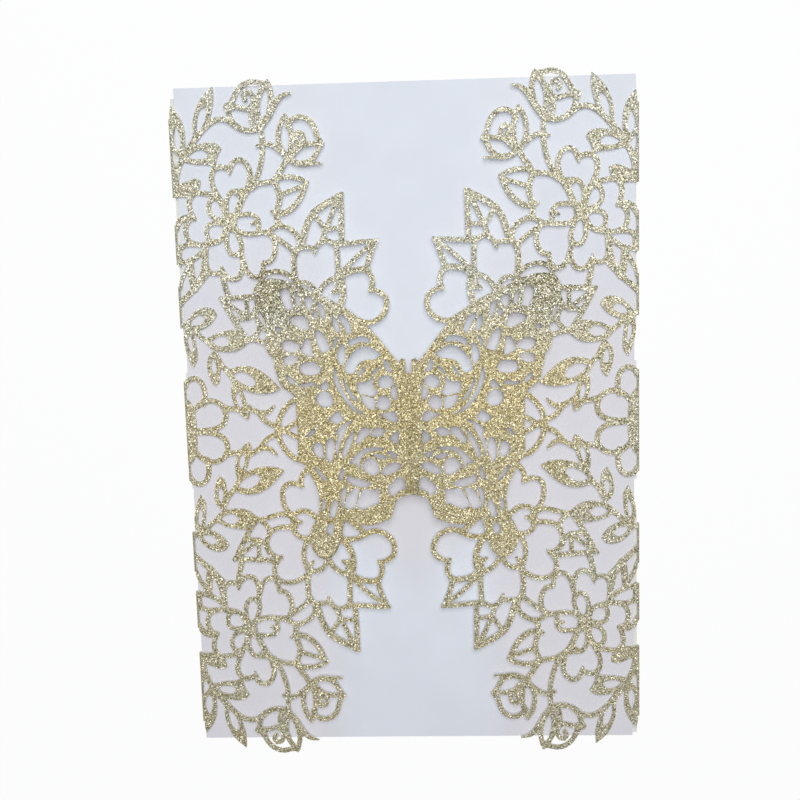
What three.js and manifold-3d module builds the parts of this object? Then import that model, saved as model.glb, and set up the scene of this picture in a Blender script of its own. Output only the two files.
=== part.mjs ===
// Laser-cut invitation card: a folded glitter sleeve with two lace flaps held by a butterfly clasp,
// and the plain card inside it. Millimetres, lying on its back, front up (+Z), top of the card to +Y.
import * as THREE from "three";
import { mergeVertices } from "three/addons/utils/BufferGeometryUtils.js";
import Module from "manifold-3d";

const wasm = await Module();
wasm.setup();

// Driving sizes.
const FOLD_X = 62.5; // half the width from fold to fold
const DRAWN_X = 62.5; // half the width that the lace below is drawn for; it stretches with FOLD_X
const BACK_Y = 90; // half the height of the plain back panel
const SHEET = 0.35; // thickness of the glitter sheet
const GAP = 0.3; // air between sheets that lie on each other
const CARD_X = 60; // half the width of the inner card
const CARD_Y = 90; // half its height
const CARD_T = 0.3; // its thickness
const CARD_SHIFT = [-0.8, 0.6]; // the card lies loose, a little off centre
const FLAP_Z = SHEET + GAP + CARD_T + GAP + 0.05; // underside of a flap at its fold
const FLAP_RISE = 2 / 60; // the flaps slope up towards the clasp
const CROSS_X = 2; // the two sheets change places within this half width
const CROSS_RISE = 2; // how far the upper sheet stands over the lower one there
const WING_DROP = 0.0615; // the upper wings come down again towards their tips
const SLIT = 1.2; // width of the slits in the two bodies
const WING_GROW = 1.035; // the upper wings lie a little further out than the lower ones
const WING_TURN = 0.018; // and a little turned
const FACET = 1.8; // corners of the lace under this area, in square millimetres, are left out
const LIP = 1.1; // the fold reaches this far in over the flap
const SPECK = 2; // openings under this area are filled
const FAR = 99; // beyond the lace on every side
const SLIT_END = 20; // the slits run out of the bodies up to here
const SLIT_MEET = 0.3; // and pass the middle by this

// Lace of one quarter: x outwards from the middle, y up from the middle.
// A band is its width and the points of its middle line; a third number is the width there.
const BANDS = [
  // large rosebud at the top
  [1.2, [37.4, 82], [35.6, 84.3], [34.7, 86.8], [34.4, 89.6], [34.8, 91.8], [35.2, 93.5, 0.5]],
  [1.2, [35.1, 92.6], [37.2, 92.9], [39.4, 93.3], [41.7, 92.6], [43.5, 91], [44.6, 89], [45.6, 87.2]],
  [1.2, [35.4, 92.6], [37, 91], [38, 88.6], [38.3, 86], [37.9, 83.6], [37.4, 81.8]],
  [1.1, [41.3, 88.8], [41.8, 89.7], [41.1, 90.8], [39.8, 90.5], [39.1, 89], [39.3, 87.3], [41, 86.4],
    [43.4, 87], [46.4, 87.2, 1.7]],
  [1.3, [39.3, 87.4], [39.9, 85.2], [39.7, 83], [38.9, 81.2]],
  [1.2, [46.2, 87.3], [45.9, 85.2], [45.2, 83.4], [43.9, 82]],
  [1.2, [37.3, 81.9], [39.4, 80.9], [42, 81], [44.2, 82.1], [46.4, 83.7], [48.6, 84.1], [50.6, 83.5],
    [52.7, 81.9], [54.7, 79.8], [57, 77.2]],
  [1.3, [29, 90, 0.3], [31.3, 89.5, 0.9], [33, 88.1], [34.3, 86], [35.6, 83.8], [37.6, 81.7]],
  // small rosebud
  [1.1, [21, 76.7, 0.5], [22.5, 78.6], [23, 80.6], [24, 82.4], [25.5, 83.5], [27.3, 83.8], [29.3, 83],
    [30.4, 81.6]],
  [1.1, [30.8, 84.5, 0.5], [32, 82.6], [32.8, 80], [32.9, 77.6], [32.2, 75.6], [30.6, 73.6]],
  [1.1, [30.8, 84.4, 0.5], [29.9, 82], [29.4, 79.4], [29.5, 76.8], [30.3, 73.4]],
  [1.1, [21, 76.8, 0.4], [22.5, 75], [23.4, 73.4], [24.6, 72.3], [26.6, 71.8], [28.8, 72.1], [30.8, 73.6]],
  [1.1, [21.5, 71.5, 0.3], [24.2, 71.6, 0.9], [27, 71.5], [29.4, 72.3]],
  [1, [22, 76.7], [24.4, 76.7], [26.8, 76.2], [28.5, 74.8], [29.8, 73.2]],
  [1, [26, 76.8], [26.4, 79.3], [27.7, 79.9], [28.3, 78.6], [27.6, 77.2], [28.8, 75.4]],
  [1.2, [30.6, 73.4], [32, 71.1], [33.4, 69.2], [34.6, 67.2]],
  [1.1, [31, 73.8], [33, 75.6], [34.9, 76.9], [36.8, 77.3], [38.8, 76.7, 0.5]],
  [1.1, [37.6, 81.8], [37.3, 78.8], [37.3, 76], [37.6, 73.4], [38.3, 70.8], [39.3, 68.4], [40.8, 65.8]],
  // leaf with one vein
  [1.1, [25.6, 66.7, 0.5], [27.5, 67.7], [30, 68.3], [32.6, 68.3], [34.6, 67.4], [37, 67.1], [39.2, 66.7],
    [42.6, 64.6]],
  [1.3, [25.6, 66.8, 0.4], [27, 64.2], [28.2, 62], [30, 60.1], [32, 59], [33.8, 58.9], [35.8, 59.5, 0.4]],
  [1.2, [34.6, 67.4], [33.6, 65], [33.2, 62.7], [33.9, 60.4], [34.3, 58], [33.7, 55.6]],
  [0.9, [27, 65.8], [30.3, 64.7], [33.5, 63.7]],
  // flower: large petals
  [1.15, [45.4, 58.8], [43.9, 62], [42.5, 64.5], [41.4, 67], [41, 69.8], [41.7, 72], [43.4, 73.3],
    [45.2, 72.9], [46.2, 71.4], [46.6, 69.7, 0.4]],
  [1.15, [46.3, 70.8, 0.8], [47.6, 71.4], [49.4, 71.6], [50.9, 70.7], [51.5, 68.8], [51.2, 66.6],
    [50.1, 64.2], [48.4, 60.5]],
  [1.15, [49.6, 63.2], [51.6, 64.4], [54, 64.9], [56.6, 65.2]],
  [1.1, [56.6, 65], [57.9, 62.8], [57.7, 60.4], [56.6, 58, 0.5]],
  [1.1, [57, 58.6, 0.8], [58.9, 57], [59.4, 54.8], [58.6, 52.4], [56.5, 51.3], [54, 51.2], [51.2, 51.8]],
  [1.1, [54, 51.5], [54.2, 48.5], [54.2, 45.6], [53.2, 43.7], [51.6, 43.3], [50.1, 43.9]],
  [1.1, [50, 45.3, 0.4], [49.3, 43], [47.4, 41.7], [45.6, 42], [44.5, 43.8], [44.1, 46.2], [44.6, 49]],
  [1.1, [43.9, 46.2], [43.2, 43.9], [41.8, 42.4], [40.1, 42.1], [38.9, 43.4], [38.3, 46.2, 0.6]],
  [1.1, [38.6, 45.6, 0.8], [36.7, 46.2], [35.5, 47.7], [35, 49.8], [35.3, 52], [36.6, 53.7], [39, 53.9],
    [41.4, 53.6], [43.8, 53.9], [46, 55.2]],
  // flower: small petals
  [1, [45.6, 58.7], [43.2, 58.9], [41, 58.8], [39.7, 57.8], [39.4, 55.8], [39.4, 53.9]],
  [1.3, [39.4, 57], [41.2, 56.3, 0.5]],
  [1, [45.6, 58.4], [44.2, 61.4], [43.7, 63.6], [44.7, 65.2], [46.3, 64.9], [47.4, 63.6], [47.9, 61.6],
    [47.8, 58.6]],
  [1.8, [43.4, 64.9], [45.1, 64.2, 0.5]],
  [1, [48.3, 58.4], [48.7, 61.6], [50, 63.2], [51.6, 63.3], [52.6, 61.9], [52.6, 60], [51.4, 58.3],
    [48.6, 57.2]],
  [1, [48.6, 56.4], [50.7, 56.9], [52.8, 56.4], [53.6, 54.8], [53.2, 52.8], [51.6, 51.8], [49.8, 52.4],
    [48.4, 54.8]],
  [1, [46, 55.2], [44.7, 52.6], [44.2, 50], [45.1, 48.4], [46.9, 48.3], [48, 49.9], [48.3, 52],
    [47.9, 55]],
  // leaf with triangular cells and the leaf with one diagonal
  [1.2, [16.5, 63.6, 0.5], [16.8, 59], [16.9, 55], [17, 50.3]],
  [1.5, [16.4, 63.5, 0.5], [20, 61.4], [23.6, 59.2], [25.7, 56.7], [26.8, 54], [27.4, 51.8], [28.5, 49.8]],
  [1, [17.4, 62.6, 1.8], [19.3, 58.4], [21.1, 54.4]],
  [0.9, [16.9, 54.6], [21.2, 54.2]],
  [1, [24.4, 58.8], [22.6, 56], [21.5, 54.2], [22.4, 51]],
  [1.1, [17, 50.6], [19, 50.4], [21.4, 51.3], [23.4, 50.2], [24.5, 48, 0.6]],
  [1.1, [24, 49.3, 0.8], [26.3, 49.6], [28.6, 49.7]],
  [1.1, [7.3, 50.9, 0.5], [11, 50.6], [15, 50.3], [18.7, 50.2]],
  [1.2, [7.5, 51, 0.5], [9.2, 47.7], [10.1, 45], [10.5, 43.2]],
  [1.2, [18.6, 50.4], [18.3, 47], [18.3, 44], [17.9, 41.2]],
  [1.2, [10.4, 43.4], [13, 43.3], [15.6, 42.6], [17.9, 41.2]],
  [1, [8.8, 49.9], [12.7, 47], [17.4, 42.6]],
  // links between the leaves and the two flowers
  [1.1, [28.3, 49.8], [28.8, 52.6], [30.7, 54.6], [33.7, 55.7], [35.4, 54.9], [37.2, 53.9]],
  [1.1, [29.6, 48], [31.3, 49.9], [33.2, 51.3], [35.4, 52.9]],
  [1.2, [28.4, 50], [29.9, 47.8], [30.2, 44.8], [30, 42], [29.5, 39.8]],
  [1.3, [49.9, 43.8], [49.5, 40.5], [48.4, 36.5]],
  // second flower, half under the clasp
  [1.2, [17.8, 41.4], [15.7, 42.6], [13, 43.2], [10.5, 42.9], [9.3, 41.2], [9.1, 39.2], [10, 37.3, 0.5]],
  [1.2, [9.7, 37.9, 0.8], [7.5, 37.2], [5.8, 35.8], [5.4, 33.6], [6.3, 31.2], [8.3, 29.5], [10.9, 28.9],
    [13.2, 29.6], [15.6, 30.9], [19, 31.2]],
  [1.3, [13.4, 29.8], [16.2, 27], [18.8, 25]],
  [1.5, [17.8, 41.6], [17.1, 38.5], [17.3, 35.6], [18.4, 33], [20.2, 30.6]],
  [1.1, [18, 41.4], [20.5, 40.7], [22.5, 39.2], [23.8, 37], [24.2, 34.5]],
  [2.2, [18.2, 41.6], [18.4, 38, 1.8], [20.2, 37.4, 0.5]],
  [1.1, [24, 35.6], [25.2, 38.8], [27.2, 40.1], [29.3, 39.9], [30.6, 38], [31, 35.7], [30.6, 33.2],
    [29.4, 30.6]],
  [1.6, [29.9, 39.4], [28.4, 37.4, 0.5]],
  [1.1, [29.4, 40.2], [31.6, 42.3], [34, 43.3], [36.6, 43.4], [38.8, 42.2], [39.5, 40.2], [39.1, 38],
    [37, 35.6, 0.4]],
  [1.1, [37.6, 36.3, 0.8], [39.4, 35.6], [40.9, 34.2], [41.3, 32], [40.7, 29.9], [39.3, 28.2],
    [37, 27.5], [33.5, 27.5]],
  [1.1, [27, 29.8], [29.4, 30.8], [32, 30.2], [33.5, 28.4], [33.7, 26], [33, 23.8], [31.2, 22.9],
    [29, 23.2], [26.8, 25]],
  [1.6, [33.4, 27.6], [32.8, 26], [31.2, 26, 0.5]],
  [1.1, [33.4, 24.6], [35.5, 22], [36.2, 19.3], [36, 16.7], [34.6, 15.2], [32.3, 15.1], [30.3, 16, 0.4]],
  [1.1, [30.8, 15.8, 0.8], [30.9, 14], [30, 12.1], [28.2, 10.8]],
  // cells between the second flower and the sprig
  [1.1, [34, 24.4], [36.5, 23.7], [39, 24.2], [41.5, 25], [44, 25.3]],
  [1, [40.3, 28.8], [41, 27], [42.6, 25.5]],
  [1.1, [38.6, 37.4], [42, 36.8], [45, 36.7], [48, 36.6], [50.9, 36.5, 0.5]],
  [1.1, [40.6, 34.6], [41.6, 32.6], [43, 31.4], [45, 31], [47.4, 30.8]],
  [0.9, [43.7, 37], [43.6, 31]],
  [0.9, [50.5, 36.5], [47.3, 34], [44, 31.5]],
  [1.2, [50.8, 36.7, 0.5], [49, 33.6], [47.4, 30.8], [46.2, 28.6], [44.6, 26]],
  // sprig stems
  [1.1, [54.4, 24.6], [56.7, 26.2], [58.4, 28], [60.2, 29.2], [62, 29.5]],
  [1.1, [49.6, 16.4], [51.4, 18.4], [53, 21.6]],
  [1.1, [37.4, 6.8, 0.4], [39.3, 5.1], [41.5, 4.9], [43.4, 5.9], [45.4, 7]],
  [1.1, [41.8, 5.1], [40.3, 2.9], [38.4, 1.6], [36.4, 1.1], [35.4, -0.2]],
  [1.2, [29.5, 8.8], [32.4, 7.9], [34.4, 6.1], [35.8, 3.9], [36.6, 1.5], [36.8, -0.2]],
  [1, [30, 2.6], [32.4, 1.6], [35, -0.2]],
  [1.2, [47.4, 6], [49.4, 6.2], [51.4, 6.6]],
  // half daisy on the fold
  [1.2, [57, 7.6], [56.6, 10.6], [57.2, 13.3], [58.9, 14.8], [60.8, 14.4], [62, 12.9]],
  [1.2, [60.4, 5.5], [58.4, 7.5], [56.2, 8.5], [53.9, 8.4], [51.8, 7], [51, 4.7], [51.6, 2.4],
    [53.6, 0.9], [56.6, 0.3], [60.5, 0.2]],
  // leaves on the fold beside the first flower
  [1.4, [56.8, 58.3, 0.8], [59, 58.6], [60.8, 57.6], [62.2, 55.6]],
  [1.1, [57, 51.4], [59.6, 51.2], [62.2, 49.8]],
  [1.1, [54.1, 50.2], [56.3, 48.2], [58.8, 46.9], [62.2, 46.6]],
  [1.6, [61.6, 50.4], [61.7, 46.4]],
  [1.1, [54.4, 48.6], [54.9, 45.6], [55.6, 43], [57.4, 40.6]],
  [1.6, [58.4, 47.2, 1], [58.4, 44], [58.2, 41.2], [57.6, 39.4]],
  [1.3, [54.4, 43], [57.4, 39.8], [59.8, 37.5], [62.2, 35.4]],
  [0.9, [58.5, 46.6], [60.8, 42.6], [62.2, 39.3]],
  // branch along the fold at the top
  [1.2, [57, 77], [58.7, 74.6], [60, 72.4], [60.9, 70], [61.6, 67.6]],
  [1.6, [62, 73.2, 0.5], [61.6, 70], [61.4, 66]],
];

// A blade is a leaf: its outline, then its opening if it has one.
const BLADES = [
  [[[50, 92.5], [51.9, 91], [53.8, 88.8], [55.1, 86], [55.8, 83.2], [55.8, 80.5], [56.3, 78.7],
    [57.3, 77.2], [55.2, 78.5], [53.6, 80.6], [51.8, 83], [50.8, 85.4], [50.2, 87.8], [49.9, 90]],
   [[52, 87.3], [53.3, 87], [54.4, 84.9], [54.8, 82.2], [54.5, 80.7], [53.2, 82.4], [52.2, 84.4]]],
  [[[61.6, 88], [59.9, 86], [58.6, 83.4], [58.1, 80.6], [58.2, 77.9], [58.3, 75.2], [59.2, 73.4],
    [60.6, 75.2], [62, 77], [62.2, 80], [62.2, 84]],
   [[59.4, 77.4], [59.4, 80.2], [60.4, 82.8], [61.3, 80.6], [61.3, 78.2], [60.3, 76.4]]],
  [[[54.5, 68.3], [56.3, 68.8], [58.4, 68.1], [60.6, 67.2], [62.1, 66.8], [62.1, 64], [59, 64],
    [57.2, 63.8], [55.8, 65], [54.8, 66.6]]],
  [[[48.4, 76.4], [49.7, 77.7], [51.7, 78.1], [54, 77.9], [56, 77.4], [58, 76.2], [59, 73.4], [56, 72.6],
    [53.5, 72.4], [51.6, 72.2], [50.2, 71], [50, 73.4], [49.4, 75]],
   [[52.1, 75.3], [53.6, 76.3], [55.6, 76], [57.6, 74.8], [56.2, 73.9], [54, 73.8], [52.6, 74.2]]],
  [[[43, 25.1], [44.8, 27.2], [47.5, 27.9], [50.3, 27.6], [53, 26.9], [55.2, 25.6], [55, 23.9],
    [53.5, 22.7], [51, 22.1], [48, 22], [45.8, 22.8], [44.2, 24]],
   [[48.6, 25], [50, 26.3], [52, 26.2], [54, 25], [52.6, 23.8], [50.3, 23.5]]],
  [[[52, 32.2], [53.1, 33.8], [55.5, 34.2], [58.2, 33.1], [60.2, 31], [61.2, 29.2], [59, 28.1],
    [56.8, 28.2], [54.6, 29.2], [53, 30.7]],
   [[55.2, 31.5], [56.8, 32.4], [58.8, 31.1], [59.6, 29.6], [57.5, 29.4], [55.8, 30.3]]],
  [[[60.4, 29.4], [61.5, 26.5], [61.3, 23.3], [60.4, 20], [59.4, 17.8], [58.1, 20], [58.1, 23],
    [58.5, 26], [59.2, 28.6]],
   [[59.6, 27], [59.1, 23.4], [59.4, 21.4], [60.2, 23], [60.5, 26]]],
  [[[53.3, 22.4], [54.9, 20.8], [55.5, 18.3], [55, 15.3], [53.7, 12.4], [52.3, 14], [51.9, 16.5],
    [51.6, 18.7], [52.2, 21]],
   [[53.7, 20.6], [54.4, 18.6], [54.1, 16.4], [53.2, 16], [52.8, 17.8]]],
  [[[35.4, 11.4], [37.2, 13.4], [39.6, 15.7], [42.6, 17.5], [45.6, 18], [48.3, 17.5], [50.3, 16.4],
    [49.2, 14.4], [47.6, 12.6], [45.5, 11.3], [43, 10.5], [40, 10.2], [37.4, 10.5]],
   [[42, 13.6], [43.8, 15.6], [46.2, 16.4], [48.6, 15.7], [47.2, 13.9], [45, 12.6], [43, 12.3]]],
  [[[48.5, 14], [49.1, 11.5], [48.9, 8.5], [47.7, 5.8], [46.2, 3.9], [44.8, 3.2], [44.3, 4.8],
    [44.9, 7], [45.5, 9.3], [46.8, 12.4]],
   [[47.2, 11.2], [48, 9.6], [47.6, 7.4], [46.6, 6.2], [46.2, 8]]],
  [[[59.6, -0.2], [59.4, 3], [60, 6], [60.9, 8.4], [62.1, 9], [62.1, -0.2]]],
  [[[30, -0.2], [29.8, 4], [29.4, 9.6], [31, 8.6], [31.3, 5], [31, 2], [31, -0.2]]],
  [[[45.2, 56.6], [45.7, 58.6], [47.2, 59.4], [48.8, 58.6], [49.3, 56.8], [48.4, 54.9], [46.8, 54.4]]],
];

// Lengths of the fold, in y, where the lace runs on into it; the middle one crosses y = 0.
const FOLDED = [[-14, 14], [28.7, 40], [46, 56.6], [64, 84.6]];
const BITE = [16.4, 26.8]; // notch in the fold

// Butterfly of the clasp: right half, wings then body.
const WING = [
  [2, 14], [2.9, 18.2], [4.9, 20.7], [7.2, 23.9], [9.8, 27], [13, 30.1], [16.8, 33], [21, 35.3],
  [25.4, 37.3], [29.8, 39.3], [33.6, 40.6], [37.2, 40.9], [40.1, 39.8], [41.4, 37.6], [41, 34.6],
  [39.6, 31.8], [38.4, 29], [38.2, 26.4], [38.9, 24], [38.2, 21.4], [36.6, 19.6], [36.2, 16.6],
  [35.2, 12.6], [32.4, 10.4], [30.8, 8], [31.1, 4], [30.8, 0], [30.5, -5], [29.6, -9.6],
  [27.4, -13.6], [26, -17.2], [25.7, -21], [26.4, -24.6], [28.2, -28], [28.9, -31], [28, -34],
  [26, -36.1], [23.6, -36.1], [21.6, -34.2], [20.3, -31], [19.6, -27.6], [18.6, -25], [16.8, -24.9],
  [14.4, -26.6], [11.6, -26.8], [8.6, -25.9], [6.2, -24.8], [5.2, -22], [4.2, -19.6], [2, -18.6],
];
const WING_HOLES = [
  // fore wing
  [[5.2, 12.4], [5.9, 13.9], [7.6, 14], [8.5, 12.4], [7.6, 10.9], [5.9, 10.9]],
  [[5.4, 6.5], [6.4, 8.1], [8.2, 7.9], [8.9, 6.2], [7.6, 4.8], [6, 5]],
  [[10.8, 13.2], [9.7, 10.8], [10.3, 9], [12.6, 8.8], [14.2, 10.6], [13.6, 12.8]],
  [[8, 20.3], [10.4, 22], [13, 21.8], [15.6, 19.8], [17.1, 17], [17, 15], [15.2, 15], [13.8, 16.9],
    [11.6, 18.3]],
  [[10, 23.3], [12, 25.4], [15.2, 25.6], [16.4, 22.8], [13.2, 23.3]],
  [[15.3, 27], [15.8, 29.4], [19, 32], [19.2, 29.6], [17.2, 27.2]],
  [[31.2, 36.4], [33.3, 37.4], [34.7, 35.6], [34.4, 33], [32.6, 31.2], [31.6, 33.6]],
  [[27, 28.4], [28.8, 30.2], [31.6, 29.8], [31.9, 28.1], [29.4, 26.6]],
  [[28.8, 22.4], [31.6, 23.3], [34.6, 22.4], [34.4, 20.9], [31.6, 20.3]],
  [[24, 15.8], [25.4, 17.5], [28.4, 17.6], [30.2, 16], [28.6, 14.2], [25.4, 14.2]],
  [[20.8, 7.2], [22, 9.2], [24.6, 9.1], [25.6, 7.2], [24.2, 5.6], [21.8, 5.6]],
  [[21.6, 20.6], [22.6, 23.6], [24.6, 26.2], [25.2, 24.6], [23.8, 20.8]],
  [[20.4, 31], [22, 33.9], [24.4, 34.9], [23.4, 32], [21.6, 29]],
  [[25.8, 35.8], [28.6, 37.2], [29.3, 35], [28, 32.4], [25.8, 31.2]],
  [[26.2, 19.6], [26.8, 22.6], [28, 21.4], [28.4, 19.2]],
  [[31.4, 16.8], [32, 18.8], [34.8, 19], [34.6, 16.8]],
  [[29.8, 11.8], [31, 14], [33.8, 14.6], [33, 12.2]],
  [[17.6, 19], [17.2, 22], [18.2, 25], [19.6, 22.6], [19.4, 19.6]],
  [[14.9, 5.8], [17.2, 9.2], [18.8, 13.6], [19.4, 17.6], [20.2, 13.6], [18.6, 8.8], [16.4, 5.2]],
  [[4, 15], [4.9, 17.6], [7, 19], [6.2, 16]],
  // hind wing
  [[10, -22.4], [12.6, -23.9], [15.4, -23.8], [15, -20.6], [12.6, -18.4], [10, -18.9]],
  [[16.6, -22.8], [18.5, -23], [18.4, -19.8], [17.2, -17.4], [15.4, -18.2]],
  [[10.8, -15.6], [13.2, -17], [17.6, -15.8], [14.4, -14.8]],
  [[9, -11], [10, -13], [12.4, -13], [13.5, -11], [12.4, -9.1], [10, -9.1]],
  [[3.4, -10.2], [4.8, -12.6], [7.6, -13.8], [7.2, -11.2]],
  [[3, -15.8], [3.8, -18.2], [5.8, -19], [6, -16.8]],
  [[20.9, -5.2], [21.3, -8.4], [22.7, -10.2], [23.9, -8], [23, -4.6]],
  [[25.2, -6], [25.2, -9], [27.6, -9.4], [28.2, -6.6]],
  [[21.2, -21.6], [21.2, -24.8], [22.6, -26.8], [23.6, -23.6], [23, -21.4]],
  [[22, -28.8], [22.8, -30.6], [24.8, -30.2], [24, -28]],
  [[6.2, -6.6], [9, -7.6], [13, -7.8], [16.6, -10.4], [17.4, -8.6], [13.6, -6], [9.4, -5.6]],
  [[4.6, -2.4], [7, -4.2], [10.6, -3.8], [12.6, -2.4], [8.6, -1.6]],
  [[23.8, -13], [25.6, -15], [27, -12.2], [25.4, -11.4]],
];
// The wing that lies under the other one shows only through its openings, so it has fewer and wider ones.
const LOWER_HOLES = [
  [[4.6, 13], [7, 16.6], [11.6, 15.4], [13, 11], [10, 8.4], [6, 9]],
  [[8.4, 20.4], [12, 25.4], [17.4, 28.6], [18, 19.6], [14.6, 17]],
  [[20.6, 22], [21.6, 32.6], [28.6, 35.6], [26.6, 27], [23.6, 20.6]],
  [[30.6, 34.6], [34.6, 36.6], [35, 31.4], [31.4, 27.4], [27.6, 25.8]],
  [[24.6, 14.4], [27, 22], [34.4, 23], [34.2, 16.4]],
  [[18.6, 5], [22, 11], [28.6, 9.8], [28, 4.6]],
  [[8, -19], [10.4, -24], [17.6, -22.8], [16.6, -17.4]],
  [[5, -5.4], [7, -13.6], [15.6, -13.6], [17.6, -7.6], [12, -4.4]],
  [[20.6, -4], [21.6, -12.4], [26.4, -11], [28.2, -4.6]],
  [[21.6, -17.4], [21, -25], [23.6, -31], [25.4, -27.4], [23.8, -18.4]],
];
const BODY = [
  [0.9, 15.2], [1.5, 18.9], [2.3, 18.5], [3, 15.5], [3.2, 9], [3, 0], [2.7, -8], [2.3, -14],
  [2.2, -18.7], [0, -18.4],
];

// Building blocks.
function solidOf(geometry) {
  const bare = new THREE.BufferGeometry();
  bare.setAttribute("position", geometry.getAttribute("position"));
  if (geometry.index) bare.setIndex(geometry.index);
  const g = mergeVertices(bare, 1e-4);
  return new wasm.Manifold(
    new wasm.Mesh({
      numProp: 3,
      vertProperties: new Float32Array(g.attributes.position.array),
      triVerts: new Uint32Array(g.index.array),
    }),
  );
}

function slab(points, height = SHEET) {
  const shape = new THREE.Shape(points.map(([x, y]) => new THREE.Vector2(x, y)));
  return solidOf(new THREE.ExtrudeGeometry(shape, { depth: height, bevelEnabled: false }));
}

function block(x0, x1, y0, y1, z0, z1) {
  const g = new THREE.BoxGeometry(x1 - x0, y1 - y0, z1 - z0);
  g.translate((x0 + x1) / 2, (y0 + y1) / 2, (z0 + z1) / 2);
  return solidOf(g);
}

// Outline of a band: its middle line moved to both sides, mitred at each point.
function bandOutline([width, ...line]) {
  const left = [], right = [];
  line.forEach(([x, y, w = width], i) => {
    const a = line[Math.max(i - 1, 0)], b = line[Math.min(i + 1, line.length - 1)];
    const before = Math.atan2(y - a[1], x - a[0]), after = Math.atan2(b[1] - y, b[0] - x);
    const from = i === 0 ? after : before, to = i === line.length - 1 ? before : after;
    const turn = Math.atan2(Math.sin(to - from), Math.cos(to - from));
    const way = from + turn / 2 + Math.PI / 2, reach = w / 2 / Math.max(Math.cos(turn / 2), 0.6);
    left.push([x + reach * Math.cos(way), y + reach * Math.sin(way)]);
    right.push([x - reach * Math.cos(way), y - reach * Math.sin(way)]);
  });
  return [...left, ...right.reverse()];
}

// Moves each corner of a solid; flips its faces where the move mirrors it.
function moved(solid, move, mirrors = false) {
  const m = solid.getMesh(), n = m.numProp;
  const out = new Float32Array(m.numVert * 3), tris = new Uint32Array(m.triVerts);
  for (let i = 0; i < m.numVert; i++) {
    const p = m.vertProperties.subarray(i * n, i * n + 3);
    out.set(move(p[0], p[1], p[2]), i * 3);
  }
  if (mirrors)
    for (let i = 0; i < tris.length; i += 3) [tris[i + 1], tris[i + 2]] = [tris[i + 2], tris[i + 1]];
  return new wasm.Manifold(new wasm.Mesh({ numProp: 3, vertProperties: out, triVerts: tris }));
}

// Loops of points round the flat underside of a slab.
function loopsOf(solid) {
  const m = solid.getMesh(), n = m.numProp, next = new Map();
  const at = (i) => m.vertProperties.subarray(i * n, i * n + 3);
  for (let i = 0; i < m.triVerts.length; i += 3) {
    const t = [...m.triVerts.subarray(i, i + 3)];
    if (t.some((v) => at(v)[2] > SHEET / 2)) continue;
    t.forEach((v, k) => {
      const w = t[(k + 1) % 3];
      if (next.get(w)?.has(v)) next.get(w).delete(v);
      else next.set(v, (next.get(v) ?? new Set()).add(w));
    });
  }
  const loops = [];
  for (const [start, ends] of next)
    while (ends.size) {
      const loop = [];
      let v = start;
      do {
        loop.push([at(v)[0], at(v)[1]]);
        const w = next.get(v).values().next().value;
        next.get(v).delete(w);
        v = w;
      } while (v !== start);
      loops.push(loop.reverse());
    }
  return loops;
}

const areaOf = (loop) => loop.reduce((sum, [x, y], i) => {
  const [u, v] = loop[(i + 1) % loop.length];
  return sum + (x * v - u * y) / 2;
}, 0);
const cross = (a, b, c) => (b[0] - a[0]) * (c[1] - a[1]) - (c[0] - a[0]) * (b[1] - a[1]);

// Leaves out, one by one, the corner of a loop that encloses the least area and no other corner.
function thinned(loop, least, others) {
  const kept = [...loop];
  const corner = (i) => [-1, 0, 1].map((k) => kept[(i + k + kept.length) % kept.length]);
  const free = ([a, b, c]) => !others.some((p) => {
    if (p === a || p === b || p === c) return false;
    const s = [cross(a, b, p), cross(b, c, p), cross(c, a, p)];
    return s.every((v) => v >= -1e-6) || s.every((v) => v <= 1e-6);
  });
  while (kept.length > 3) {
    const order = kept
      .map((_, i) => [Math.abs(cross(...corner(i))) / 2, i])
      .filter(([size]) => size < least)
      .sort((p, q) => p[0] - q[0]);
    const hit = order.find(([, i]) => free(corner(i)));
    if (!hit) break;
    kept.splice(hit[1], 1);
  }
  return kept;
}

// A slab drawn again with fewer corners.
function redrawn(solid, least) {
  let loops = loopsOf(solid).filter((l) => Math.abs(areaOf(l)) > SPECK);
  loops.forEach((l, i) => (loops[i] = thinned(l, least, loops.flat())));
  const path = (l) => l.map(([x, y]) => new THREE.Vector2(x, y));
  const shape = new THREE.Shape(path(loops.find((l) => areaOf(l) > 0)));
  shape.holes = loops.filter((l) => areaOf(l) < 0).map((l) => new THREE.Path(path(l)));
  return solidOf(new THREE.ExtrudeGeometry(shape, { depth: SHEET, bevelEnabled: false }));
}
const mirrorX = (s) => moved(s, (x, y, z) => [-x, y, z], true);
const mirrorY = (s) => moved(s, (x, y, z) => [x, -y, z], true);
const join = (list) => list.reduce((a, b) => a.add(b));

// Flat patterns.
const quarter = join([
  ...BANDS.map((band) => slab(bandOutline(band))),
  ...BLADES.map(([outline]) => slab(outline)),
]);
const openings = BLADES.filter(([, hole]) => hole).map(([, hole]) => slab(hole));
const cleared = openings.reduce((a, b) => a.subtract(b), quarter);
const lace = moved(cleared.add(mirrorY(cleared)), (x, y, z) => [(x * FOLD_X) / DRAWN_X, y, z])
  .intersect(block(0, FOLD_X - LIP + 0.4, -FAR, FAR, -1, 2));
const wingShape = slab(WING);
const wing = WING_HOLES.reduce((a, hole) => a.subtract(slab(hole)), wingShape);
const halfBody = slab([[-0.01, 15.2], ...BODY, [-0.01, -18.4]]);
const body = halfBody.add(mirrorX(halfBody));
const flap = LOWER_HOLES.reduce((a, hole) => a.subtract(slab(hole)), lace.add(wingShape));

// The upper wing of a butterfly: grown a little outwards and turned, from the body on.
const spread = (turn) => (x, y, z) => {
  const out = Math.max(x - 3, 0);
  return [x + out * (WING_GROW - 1), y * (1 + (out / 38) * (WING_GROW - 1)) + out * turn, z];
};

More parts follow.
